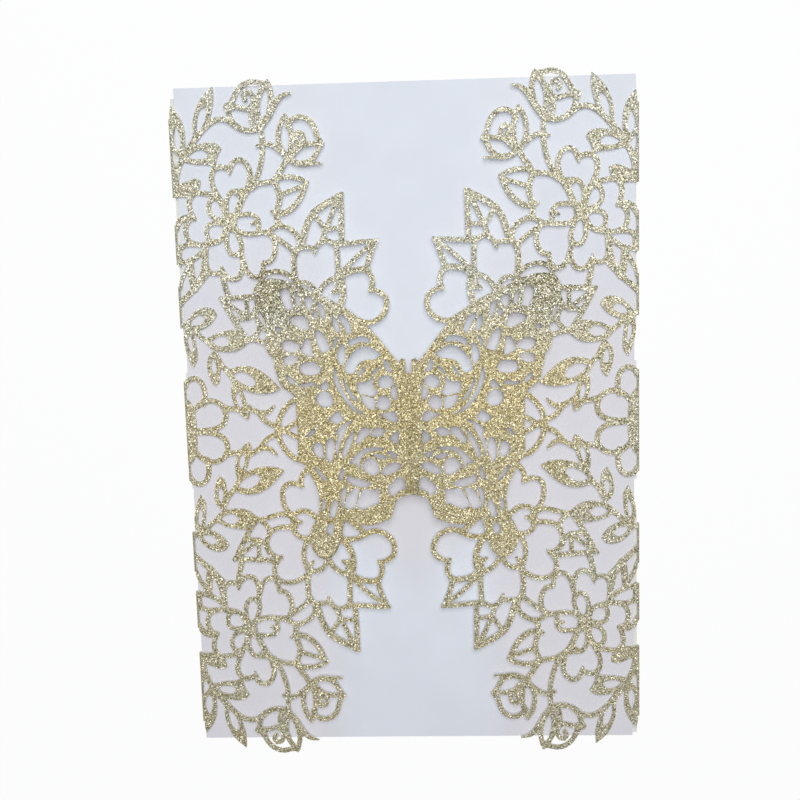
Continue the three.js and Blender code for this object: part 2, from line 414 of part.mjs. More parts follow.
// One butterfly with its flap on the right; slit from the bottom (-1) or from the top (+1).
function sheetHalf(slitFrom, turn) {
  const over = mirrorX(moved(wing, spread(turn)));
  const flat = redrawn(join([flap, body, over]), FACET).subtract(
    slitFrom > 0
      ? block(-SLIT / 2, SLIT / 2, -SLIT_MEET, SLIT_END, -1, 2)
      : block(-SLIT / 2, SLIT / 2, -SLIT_END, SLIT_MEET, -1, 2),
  );
  const base = FLAP_Z + FLAP_RISE * (FOLD_X - CROSS_X);
  const strip = (x0, x1, lift) =>
    moved(flat.intersect(block(x0, x1, -FAR, FAR, -1, 2)), (x, y, z) => [x, y, z + lift(x)]);
  return join([
    strip(CROSS_X, FAR, (x) => FLAP_Z + FLAP_RISE * (FOLD_X - x)),
    strip(-CROSS_X, CROSS_X, (x) => base + (CROSS_RISE * (CROSS_X - x)) / (2 * CROSS_X)),
    strip(-FAR, -CROSS_X, (x) => base + CROSS_RISE + WING_DROP * (x + CROSS_X)),
  ]);
}

// The fold: from the back panel round into the flap, along one length in y. Its lip holds the lace's end.
function fold(y0, y1) {
  const X = FOLD_X, top = FLAP_Z + SHEET + FLAP_RISE * LIP + 0.06, low = top - SHEET - 0.12;
  const g = new THREE.ExtrudeGeometry(
    new THREE.Shape(
      [[X, 0], [X, top - 0.6], [X - 0.5, top], [X - LIP, top], [X - LIP, low], [X - 0.6, low],
        [X - SHEET, low - 0.25], [X - SHEET, 0]]
        .map(([x, z]) => new THREE.Vector2(x, z)),
    ),
    { depth: y1 - y0, bevelEnabled: false },
  );
  g.rotateX(Math.PI / 2).translate(0, y1, 0);
  return solidOf(g);
}

const bites = [1, -1].flatMap((s) =>
  [1, -1].map((t) => {
    const [a, b] = BITE.map((y) => y * t).sort((p, q) => p - q);
    return block(s > 0 ? FOLD_X - 1.3 : -FOLD_X - 1, s > 0 ? FOLD_X + 1 : 1.3 - FOLD_X, a, b, -1, 9);
  }),
);
const folds = FOLDED.flatMap(([a, b]) => (a < 0 ? [fold(a, b)] : [fold(a, b), fold(-b, -a)]));
const back = bites.reduce(
  (a, b) => a.subtract(b),
  block(-FOLD_X, FOLD_X, -BACK_Y, BACK_Y, 0, SHEET),
);
const right = sheetHalf(-1, WING_TURN);
const left = mirrorX(sheetHalf(1, -WING_TURN));
const sleeve = join([back, ...folds, ...folds.map(mirrorX), right, left]);

// Export.
const part = new THREE.Group();
function add(name, solid, color) {
  const m = solid.getMesh(), n = m.numProp, v = new Float32Array(m.numVert * 3);
  for (let i = 0; i < m.numVert; i++) v.set(m.vertProperties.subarray(i * n, i * n + 3), i * 3);
  const g = new THREE.BufferGeometry();
  g.setAttribute("position", new THREE.BufferAttribute(v, 3));
  g.setIndex(new THREE.BufferAttribute(new Uint32Array(m.triVerts), 1));
  g.computeVertexNormals();
  const mesh = new THREE.Mesh(g, new THREE.MeshStandardMaterial({ color }));
  mesh.name = name;
  part.add(mesh);
}
add("gatefold_sleeve", sleeve, 0xc9bd8c);
const cardZ = SHEET + GAP;
add(
  "insert_card",
  block(
    CARD_SHIFT[0] - CARD_X, CARD_SHIFT[0] + CARD_X, CARD_SHIFT[1] - CARD_Y, CARD_SHIFT[1] + CARD_Y,
    cardZ, cardZ + CARD_T,
  ),
  0xe6e8ee,
);

export default part;
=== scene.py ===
# %% [markdown]
# # Laser-cut invitation card
# A folded sheet of champagne glitter card: a plain back, a lace flap from each side fold, and a clasp
# of two whole butterflies that are slit into each other. A plain off-white card lies inside.
#
# Lace could be built curve by curve in the editor, but its lines have to melt into one another like
# one cut sheet. So the lace is drawn as a flat pattern in millimetres, its outline is traced, and the
# sheet is then lifted to the height that each part of it has in the closed card.

# %%
import math
import bmesh
import bpy
import numpy as np
from mathutils import Matrix, Vector
from mathutils.geometry import delaunay_2d_cdt


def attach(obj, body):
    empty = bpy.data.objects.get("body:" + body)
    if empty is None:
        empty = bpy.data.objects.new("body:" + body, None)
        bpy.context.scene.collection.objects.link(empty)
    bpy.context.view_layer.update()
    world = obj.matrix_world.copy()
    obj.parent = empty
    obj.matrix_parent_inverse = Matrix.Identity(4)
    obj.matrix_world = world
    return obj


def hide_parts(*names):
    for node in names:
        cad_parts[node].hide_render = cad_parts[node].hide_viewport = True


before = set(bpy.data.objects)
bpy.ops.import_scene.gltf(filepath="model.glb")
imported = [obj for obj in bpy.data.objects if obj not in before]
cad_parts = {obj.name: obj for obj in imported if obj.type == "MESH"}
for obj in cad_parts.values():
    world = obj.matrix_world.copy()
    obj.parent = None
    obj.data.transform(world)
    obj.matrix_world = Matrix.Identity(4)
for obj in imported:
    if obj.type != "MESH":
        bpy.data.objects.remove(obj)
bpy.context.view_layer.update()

# %% [markdown]
# ## Sizes of the sleeve, in millimetres
# The card lies on its back: x runs across it, y up its length and z out of its front. The flaps rise
# slightly from the folds to the clasp, where the sheets change places and the wings come to lie on top.

# %%
MM = 0.001
FOLD_X = 62.5
ROUND = 0.6
BACK_Y = 90
SHEET = 0.35
FLAP_Z = 1.3
FLAP_RISE = 2 / 60
CROSS_X = 2
CROSS_RISE = 2
WING_DROP = 0.0615
FOLDED = [(-14, 14), (28.7, 40), (46, 56.6), (64, 84.6)]
BITE = (16.4, 26.8)
BITE_DEEP = 1.3

# %% [markdown]
# ## Sizes of the butterflies, in millimetres
# Each body is slit over half its length, one from the top and one from the bottom, so that the two
# hook into each other. Both have a short notch at the top. The wing underneath lies up to 2 mm deeper
# than the one on top, and less so towards its tip.

# %%
BODY_HALF = 3
BODY_TOP, BODY_FOOT = 18.6, -18.4
SLIT, SLIT_END, SLIT_MEET = 1.2, 20, 0.15
NOTCH, NOTCH_FOOT, NOTCH_END = 1.8, 15.1, 22
WING_TURN = 0.018
WING_GAP, WING_CLOSING = 2, 0.029
EYE, EYE_Y = 273, 42
UPPER_EASE, LOWER_EASE = 0.1, 0.44

# %% [markdown]
# ## Sizes of the inner card, in millimetres
# It is a little narrower than the sleeve, so that it slides in, and a little longer than the back
# panel. CARD_X and CARD_Y are half its width and half its length.

# %%
CARD_X, CARD_Y = 61.2, 91.2
CARD_T = 0.3
CARD_Z = 0.97
CARD_BOW = 0.05
CARD_SHIFT = (-0.1, 1)
CARD_TURN = math.radians(-0.35)

# %% [markdown]
# ## Lace of one quarter
# The four quarters of the lace mirror each other, so one is enough: x outwards from the middle line of
# the card, y up from its middle. A band is its width and the points of its middle line, where a third
# number is the width at that point, so that a stem can thin out to a tip.

# %%
BANDS = [
  # large rosebud at the top
  [1.2, [37.4, 82], [35.6, 84.3], [34.7, 86.8], [34.4, 89.6], [34.8, 91.8], [35.2, 93.5, 0.5]],
  [1.2, [35.1, 92.6], [37.2, 92.9], [39.4, 93.3], [41.7, 92.6], [43.5, 91], [44.6, 89],
    [45.6, 87.2]],
  [1.2, [35.4, 92.6], [37, 91], [38, 88.6], [38.3, 86], [37.9, 83.6], [37.4, 81.8]],
  [1.1, [41.3, 88.8], [41.8, 89.7], [41.1, 90.8], [39.8, 90.5], [39.1, 89], [39.3, 87.3],
    [41, 86.4], [43.4, 87], [46.4, 87.2, 1.7]],
  [1.3, [39.3, 87.4], [39.9, 85.2], [39.7, 83], [38.9, 81.2]],
  [1.2, [46.2, 87.3], [45.9, 85.2], [45.2, 83.4], [43.9, 82]],
  [1.2, [37.3, 81.9], [39.4, 80.9], [42, 81], [44.2, 82.1], [46.4, 83.7], [48.6, 84.1],
    [50.6, 83.5], [52.7, 81.9], [54.7, 79.8], [57, 77.2]],
  [1.3, [29, 90, 0.3], [31.3, 89.5, 0.9], [33, 88.1], [34.3, 86], [35.6, 83.8], [37.6, 81.7]],
  # small rosebud
  [1.1, [21, 76.7, 0.5], [22.5, 78.6], [23, 80.6], [24, 82.4], [25.5, 83.5], [27.3, 83.8],
    [29.3, 83], [30.4, 81.6]],
  [1.1, [30.8, 84.5, 0.5], [32, 82.6], [32.8, 80], [32.9, 77.6], [32.2, 75.6], [30.6, 73.6]],
  [1.1, [30.8, 84.4, 0.5], [29.9, 82], [29.4, 79.4], [29.5, 76.8], [30.3, 73.4]],
  [1.1, [21, 76.8, 0.4], [22.5, 75], [23.4, 73.4], [24.6, 72.3], [26.6, 71.8], [28.8, 72.1],
    [30.8, 73.6]],
  [1.1, [21.5, 71.5, 0.3], [24.2, 71.6, 0.9], [27, 71.5], [29.4, 72.3]],
  [1, [22, 76.7], [24.4, 76.7], [26.8, 76.2], [28.5, 74.8], [29.8, 73.2]],
  [1, [26, 76.8], [26.4, 79.3], [27.7, 79.9], [28.3, 78.6], [27.6, 77.2], [28.8, 75.4]],
  [1.2, [30.6, 73.4], [32, 71.1], [33.4, 69.2], [34.6, 67.2]],
  [1.1, [31, 73.8], [33, 75.6], [34.9, 76.9], [36.8, 77.3], [38.8, 76.7, 0.5]],
  [1.1, [37.6, 81.8], [37.3, 78.8], [37.3, 76], [37.6, 73.4], [38.3, 70.8], [39.3, 68.4],
    [40.8, 65.8]],
  # leaf with one vein
  [1.1, [25.6, 66.7, 0.5], [27.5, 67.7], [30, 68.3], [32.6, 68.3], [34.6, 67.4], [37, 67.1],
    [39.2, 66.7], [42.6, 64.6]],
  [1.3, [25.6, 66.8, 0.4], [27, 64.2], [28.2, 62], [30, 60.1], [32, 59], [33.8, 58.9],
    [35.8, 59.5, 0.4]],
  [1.2, [34.6, 67.4], [33.6, 65], [33.2, 62.7], [33.9, 60.4], [34.3, 58], [33.7, 55.6]],
  [0.9, [27, 65.8], [30.3, 64.7], [33.5, 63.7]],
  # flower: large petals
  [1.15, [45.4, 58.8], [43.9, 62], [42.5, 64.5], [41.4, 67], [41, 69.8], [41.7, 72], [43.4, 73.3],
    [45.2, 72.9], [46.2, 71.4], [46.6, 69.7, 0.4]],
  [1.15, [46.3, 70.8, 0.8], [47.6, 71.4], [49.4, 71.6], [50.9, 70.7], [51.5, 68.8], [51.2, 66.6],
    [50.1, 64.2], [48.4, 60.5]],
  [1.15, [49.6, 63.2], [51.6, 64.4], [54, 64.9], [56.6, 65.2]],
  [1.1, [56.6, 65], [57.9, 62.8], [57.7, 60.4], [56.6, 58, 0.5]],
  [1.1, [57, 58.6, 0.8], [58.9, 57], [59.4, 54.8], [58.6, 52.4], [56.5, 51.3], [54, 51.2],
    [51.2, 51.8]],
  [1.1, [54, 51.5], [54.2, 48.5], [54.2, 45.6], [53.2, 43.7], [51.6, 43.3], [50.1, 43.9]],
  [1.1, [50, 45.3, 0.4], [49.3, 43], [47.4, 41.7], [45.6, 42], [44.5, 43.8], [44.1, 46.2],
    [44.6, 49]],
  [1.1, [43.9, 46.2], [43.2, 43.9], [41.8, 42.4], [40.1, 42.1], [38.9, 43.4], [38.3, 46.2, 0.6]],
  [1.1, [38.6, 45.6, 0.8], [36.7, 46.2], [35.5, 47.7], [35, 49.8], [35.3, 52], [36.6, 53.7],
    [39, 53.9], [41.4, 53.6], [43.8, 53.9], [46, 55.2]],
  # flower: small petals
  [1, [45.6, 58.7], [43.2, 58.9], [41, 58.8], [39.7, 57.8], [39.4, 55.8], [39.4, 53.9]],
  [1.3, [39.4, 57], [41.2, 56.3, 0.5]],
  [1, [45.6, 58.4], [44.2, 61.4], [43.7, 63.6], [44.7, 65.2], [46.3, 64.9], [47.4, 63.6],
    [47.9, 61.6], [47.8, 58.6]],
  [1.8, [43.4, 64.9], [45.1, 64.2, 0.5]],
  [1, [48.3, 58.4], [48.7, 61.6], [50, 63.2], [51.6, 63.3], [52.6, 61.9], [52.6, 60], [51.4, 58.3],
    [48.6, 57.2]],
  [1, [48.6, 56.4], [50.7, 56.9], [52.8, 56.4], [53.6, 54.8], [53.2, 52.8], [51.6, 51.8],
    [49.8, 52.4], [48.4, 54.8]],
  [1, [46, 55.2], [44.7, 52.6], [44.2, 50], [45.1, 48.4], [46.9, 48.3], [48, 49.9], [48.3, 52],
    [47.9, 55]],
  # leaf with triangular cells and the leaf with one diagonal
  [1.2, [16.5, 63.6, 0.5], [16.8, 59], [16.9, 55], [17, 50.3]],
  [1.5, [16.4, 63.5, 0.5], [20, 61.4], [23.6, 59.2], [25.7, 56.7], [26.8, 54], [27.4, 51.8],
    [28.5, 49.8]],
  [1, [17.4, 62.6, 1.8], [19.3, 58.4], [21.1, 54.4]],
  [0.9, [16.9, 54.6], [21.2, 54.2]],
  [1, [24.4, 58.8], [22.6, 56], [21.5, 54.2], [22.4, 51]],
  [1.1, [17, 50.6], [19, 50.4], [21.4, 51.3], [23.4, 50.2], [24.5, 48, 0.6]],
  [1.1, [24, 49.3, 0.8], [26.3, 49.6], [28.6, 49.7]],
  [1.1, [7.3, 50.9, 0.5], [11, 50.6], [15, 50.3], [18.7, 50.2]],
  [1.2, [7.5, 51, 0.5], [9.2, 47.7], [10.1, 45], [10.5, 43.2]],
  [1.2, [18.6, 50.4], [18.3, 47], [18.3, 44], [17.9, 41.2]],
  [1.2, [10.4, 43.4], [13, 43.3], [15.6, 42.6], [17.9, 41.2]],
  [1, [8.8, 49.9], [12.7, 47], [17.4, 42.6]],
  # links between the leaves and the two flowers
  [1.1, [28.3, 49.8], [28.8, 52.6], [30.7, 54.6], [33.7, 55.7], [35.4, 54.9], [37.2, 53.9]],
  [1.1, [29.6, 48], [31.3, 49.9], [33.2, 51.3], [35.4, 52.9]],
  [1.2, [28.4, 50], [29.9, 47.8], [30.2, 44.8], [30, 42], [29.5, 39.8]],
  [1.3, [49.9, 43.8], [49.5, 40.5], [48.4, 36.5]],
  # second flower, half under the clasp
  [1.2, [17.8, 41.4], [15.7, 42.6], [13, 43.2], [10.5, 42.9], [9.3, 41.2], [9.1, 39.2],
    [10, 37.3, 0.5]],
  [1.2, [9.7, 37.9, 0.8], [7.5, 37.2], [5.8, 35.8], [5.4, 33.6], [6.3, 31.2], [8.3, 29.5],
    [10.9, 28.9], [13.2, 29.6], [15.6, 30.9], [19, 31.2]],
  [1.3, [13.4, 29.8], [16.2, 27], [18.8, 25]],
  [1.5, [17.8, 41.6], [17.1, 38.5], [17.3, 35.6], [18.4, 33], [20.2, 30.6]],
  [1.1, [18, 41.4], [20.5, 40.7], [22.5, 39.2], [23.8, 37], [24.2, 34.5]],
  [2.2, [18.2, 41.6], [18.4, 38, 1.8], [20.2, 37.4, 0.5]],
  [1.1, [24, 35.6], [25.2, 38.8], [27.2, 40.1], [29.3, 39.9], [30.6, 38], [31, 35.7], [30.6, 33.2],
    [29.4, 30.6]],
  [1.6, [29.9, 39.4], [28.4, 37.4, 0.5]],
  [1.1, [29.4, 40.2], [31.6, 42.3], [34, 43.3], [36.6, 43.4], [38.8, 42.2], [39.5, 40.2],
    [39.1, 38], [37, 35.6, 0.4]],
  [1.1, [37.6, 36.3, 0.8], [39.4, 35.6], [40.9, 34.2], [41.3, 32], [40.7, 29.9], [39.3, 28.2],
    [37, 27.5], [33.5, 27.5]],
  [1.1, [27, 29.8], [29.4, 30.8], [32, 30.2], [33.5, 28.4], [33.7, 26], [33, 23.8], [31.2, 22.9],
    [29, 23.2], [26.8, 25]],
  [1.6, [33.4, 27.6], [32.8, 26], [31.2, 26, 0.5]],
  [1.1, [33.4, 24.6], [35.5, 22], [36.2, 19.3], [36, 16.7], [34.6, 15.2], [32.3, 15.1],
    [30.3, 16, 0.4]],
  [1.1, [30.8, 15.8, 0.8], [30.9, 14], [30, 12.1], [28.2, 10.8]],
  # cells between the second flower and the sprig
  [1.1, [34, 24.4], [36.5, 23.7], [39, 24.2], [41.5, 25], [44, 25.3]],
  [1, [40.3, 28.8], [41, 27], [42.6, 25.5]],
  [1.1, [38.6, 37.4], [42, 36.8], [45, 36.7], [48, 36.6], [50.9, 36.5, 0.5]],
  [1.1, [40.6, 34.6], [41.6, 32.6], [43, 31.4], [45, 31], [47.4, 30.8]],
  [0.9, [43.7, 37], [43.6, 31]],
  [0.9, [50.5, 36.5], [47.3, 34], [44, 31.5]],
  [1.2, [50.8, 36.7, 0.5], [49, 33.6], [47.4, 30.8], [46.2, 28.6], [44.6, 26]],
  # sprig stems
  [1.1, [54.4, 24.6], [56.7, 26.2], [58.4, 28], [60.2, 29.2], [62, 29.5]],
  [1.1, [49.6, 16.4], [51.4, 18.4], [53, 21.6]],
  [1.1, [37.4, 6.8, 0.4], [39.3, 5.1], [41.5, 4.9], [43.4, 5.9], [45.4, 7]],
  [1.1, [41.8, 5.1], [40.3, 2.9], [38.4, 1.6], [36.4, 1.1], [35.4, -0.2]],
  [1.2, [29.5, 8.8], [32.4, 7.9], [34.4, 6.1], [35.8, 3.9], [36.6, 1.5], [36.8, -0.2]],
  [1, [30, 2.6], [32.4, 1.6], [35, -0.2]],
  [1.2, [47.4, 6], [49.4, 6.2], [51.4, 6.6]],
  # half daisy on the fold
  [1.2, [57, 7.6], [56.6, 10.6], [57.2, 13.3], [58.9, 14.8], [60.8, 14.4], [62, 12.9]],
  [1.2, [60.4, 5.5], [58.4, 7.5], [56.2, 8.5], [53.9, 8.4], [51.8, 7], [51, 4.7], [51.6, 2.4],
    [53.6, 0.9], [56.6, 0.3], [60.5, 0.2]],
  # leaves on the fold beside the first flower
  [1.4, [56.8, 58.3, 0.8], [59, 58.6], [60.8, 57.6], [62.2, 55.6]],
  [1.1, [57, 51.4], [59.6, 51.2], [62.2, 49.8]],
  [1.1, [54.1, 50.2], [56.3, 48.2], [58.8, 46.9], [62.2, 46.6]],
  [1.6, [61.6, 50.4], [61.7, 46.4]],
  [1.1, [54.4, 48.6], [54.9, 45.6], [55.6, 43], [57.4, 40.6]],
  [1.6, [58.4, 47.2, 1], [58.4, 44], [58.2, 41.2], [57.6, 39.4]],
  [1.3, [54.4, 43], [57.4, 39.8], [59.8, 37.5], [62.2, 35.4]],
  [0.9, [58.5, 46.6], [60.8, 42.6], [62.2, 39.3]],
  # branch along the fold at the top
  [1.2, [57, 77], [58.7, 74.6], [60, 72.4], [60.9, 70], [61.6, 67.6]],
  [1.6, [62, 73.2, 0.5], [61.6, 70], [61.4, 66]],
]
print("bands in a quarter of the lace:", len(BANDS))

# %% [markdown]
# ## Leaves
# A leaf is too broad for a band. It is a closed outline, followed by the outline of each opening in it.

# %%
BLADES = [
  [[[50, 92.5], [51.9, 91], [53.8, 88.8], [55.1, 86], [55.8, 83.2], [55.8, 80.5], [56.3, 78.7],
    [57.3, 77.2], [55.2, 78.5], [53.6, 80.6], [51.8, 83], [50.8, 85.4], [50.2, 87.8], [49.9, 90]],
   [[52, 87.3], [53.3, 87], [54.4, 84.9], [54.8, 82.2], [54.5, 80.7], [53.2, 82.4], [52.2, 84.4]]],
  [[[61.6, 88], [59.9, 86], [58.6, 83.4], [58.1, 80.6], [58.2, 77.9], [58.3, 75.2], [59.2, 73.4],
    [60.6, 75.2], [62, 77], [62.2, 80], [62.2, 84]],
   [[59.4, 77.4], [59.4, 80.2], [60.4, 82.8], [61.3, 80.6], [61.3, 78.2], [60.3, 76.4]]],
  [[[54.5, 68.3], [56.3, 68.8], [58.4, 68.1], [60.6, 67.2], [62.1, 66.8], [62.1, 64], [59, 64],
    [57.2, 63.8], [55.8, 65], [54.8, 66.6]]],
  [[[48.4, 76.4], [49.7, 77.7], [51.7, 78.1], [54, 77.9], [56, 77.4], [58, 76.2], [59, 73.4],
    [56, 72.6], [53.5, 72.4], [51.6, 72.2], [50.2, 71], [50, 73.4], [49.4, 75]],
   [[52.1, 75.3], [53.6, 76.3], [55.6, 76], [57.6, 74.8], [56.2, 73.9], [54, 73.8], [52.6, 74.2]]],
  [[[43, 25.1], [44.8, 27.2], [47.5, 27.9], [50.3, 27.6], [53, 26.9], [55.2, 25.6], [55, 23.9],
    [53.5, 22.7], [51, 22.1], [48, 22], [45.8, 22.8], [44.2, 24]],
   [[48.6, 25], [50, 26.3], [52, 26.2], [54, 25], [52.6, 23.8], [50.3, 23.5]]],
  [[[52, 32.2], [53.1, 33.8], [55.5, 34.2], [58.2, 33.1], [60.2, 31], [61.2, 29.2], [59, 28.1],
    [56.8, 28.2], [54.6, 29.2], [53, 30.7]],
   [[55.2, 31.5], [56.8, 32.4], [58.8, 31.1], [59.6, 29.6], [57.5, 29.4], [55.8, 30.3]]],
  [[[60.4, 29.4], [61.5, 26.5], [61.3, 23.3], [60.4, 20], [59.4, 17.8], [58.1, 20], [58.1, 23],
    [58.5, 26], [59.2, 28.6]],
   [[59.6, 27], [59.1, 23.4], [59.4, 21.4], [60.2, 23], [60.5, 26]]],
  [[[53.3, 22.4], [54.9, 20.8], [55.5, 18.3], [55, 15.3], [53.7, 12.4], [52.3, 14], [51.9, 16.5],
    [51.6, 18.7], [52.2, 21]],
   [[53.7, 20.6], [54.4, 18.6], [54.1, 16.4], [53.2, 16], [52.8, 17.8]]],
  [[[35.4, 11.4], [37.2, 13.4], [39.6, 15.7], [42.6, 17.5], [45.6, 18], [48.3, 17.5], [50.3, 16.4],
    [49.2, 14.4], [47.6, 12.6], [45.5, 11.3], [43, 10.5], [40, 10.2], [37.4, 10.5]],
   [[42, 13.6], [43.8, 15.6], [46.2, 16.4], [48.6, 15.7], [47.2, 13.9], [45, 12.6], [43, 12.3]]],
  [[[48.5, 14], [49.1, 11.5], [48.9, 8.5], [47.7, 5.8], [46.2, 3.9], [44.8, 3.2], [44.3, 4.8],
    [44.9, 7], [45.5, 9.3], [46.8, 12.4]],
   [[47.2, 11.2], [48, 9.6], [47.6, 7.4], [46.6, 6.2], [46.2, 8]]],
  [[[59.6, -0.2], [59.4, 3], [60, 6], [60.9, 8.4], [62.1, 9], [62.1, -0.2]]],
  [[[30, -0.2], [29.8, 4], [29.4, 9.6], [31, 8.6], [31.3, 5], [31, 2], [31, -0.2]]],
  [[[45.2, 56.6], [45.7, 58.6], [47.2, 59.4], [48.8, 58.6], [49.3, 56.8], [48.4, 54.9],
    [46.8, 54.4]]],
]
print("leaves in a quarter of the lace:", len(BLADES))

# %% [markdown]
# ## Outline of a wing, and half of the body
# The wing's outline runs round both its halves, from the top of the body to its foot. The body's runs
# down its right side.

# %%
WING = [
  [2, 14], [2.9, 18.2], [4.9, 20.7], [7.2, 23.9], [9.8, 27], [13, 30.1], [16.8, 33], [21, 35.3],
  [25.4, 37.3], [29.8, 39.3], [33.6, 40.6], [37.2, 40.9], [40.1, 39.8], [41.4, 37.6], [41, 34.6],
  [39.6, 31.8], [38.4, 29], [38.2, 26.4], [38.9, 24], [38.2, 21.4], [36.6, 19.6], [36.2, 16.6],
  [35.2, 12.6], [32.4, 10.4], [30.8, 8], [31.1, 4], [30.8, 0], [30.5, -5], [29.6, -9.6],
  [27.4, -13.6], [26, -17.2], [25.7, -21], [26.4, -24.6], [28.2, -28], [28.9, -31], [28, -34],
  [26, -36.1], [23.6, -36.1], [21.6, -34.2], [20.3, -31], [19.6, -27.6], [18.6, -25], [16.8, -24.9],
  [14.4, -26.6], [11.6, -26.8], [8.6, -25.9], [6.2, -24.8], [5.2, -22], [4.2, -19.6], [2, -18.6],
]
BODY = [
  [1, 18.7], [1.9, 19], [2.5, 18.2], [2.9, 15.5], [3, 9], [2.8, 0], [2.5, -8], [2.1, -13],
    [1.9, -16],
  [1.9, -18.6], [0, -18.4],
]

# %% [markdown]
# ## Openings of the wings
# The right wing as it lies on top, x out from the middle of the body. Each opening is drawn as a closed
# line. The wing under it has the same openings.

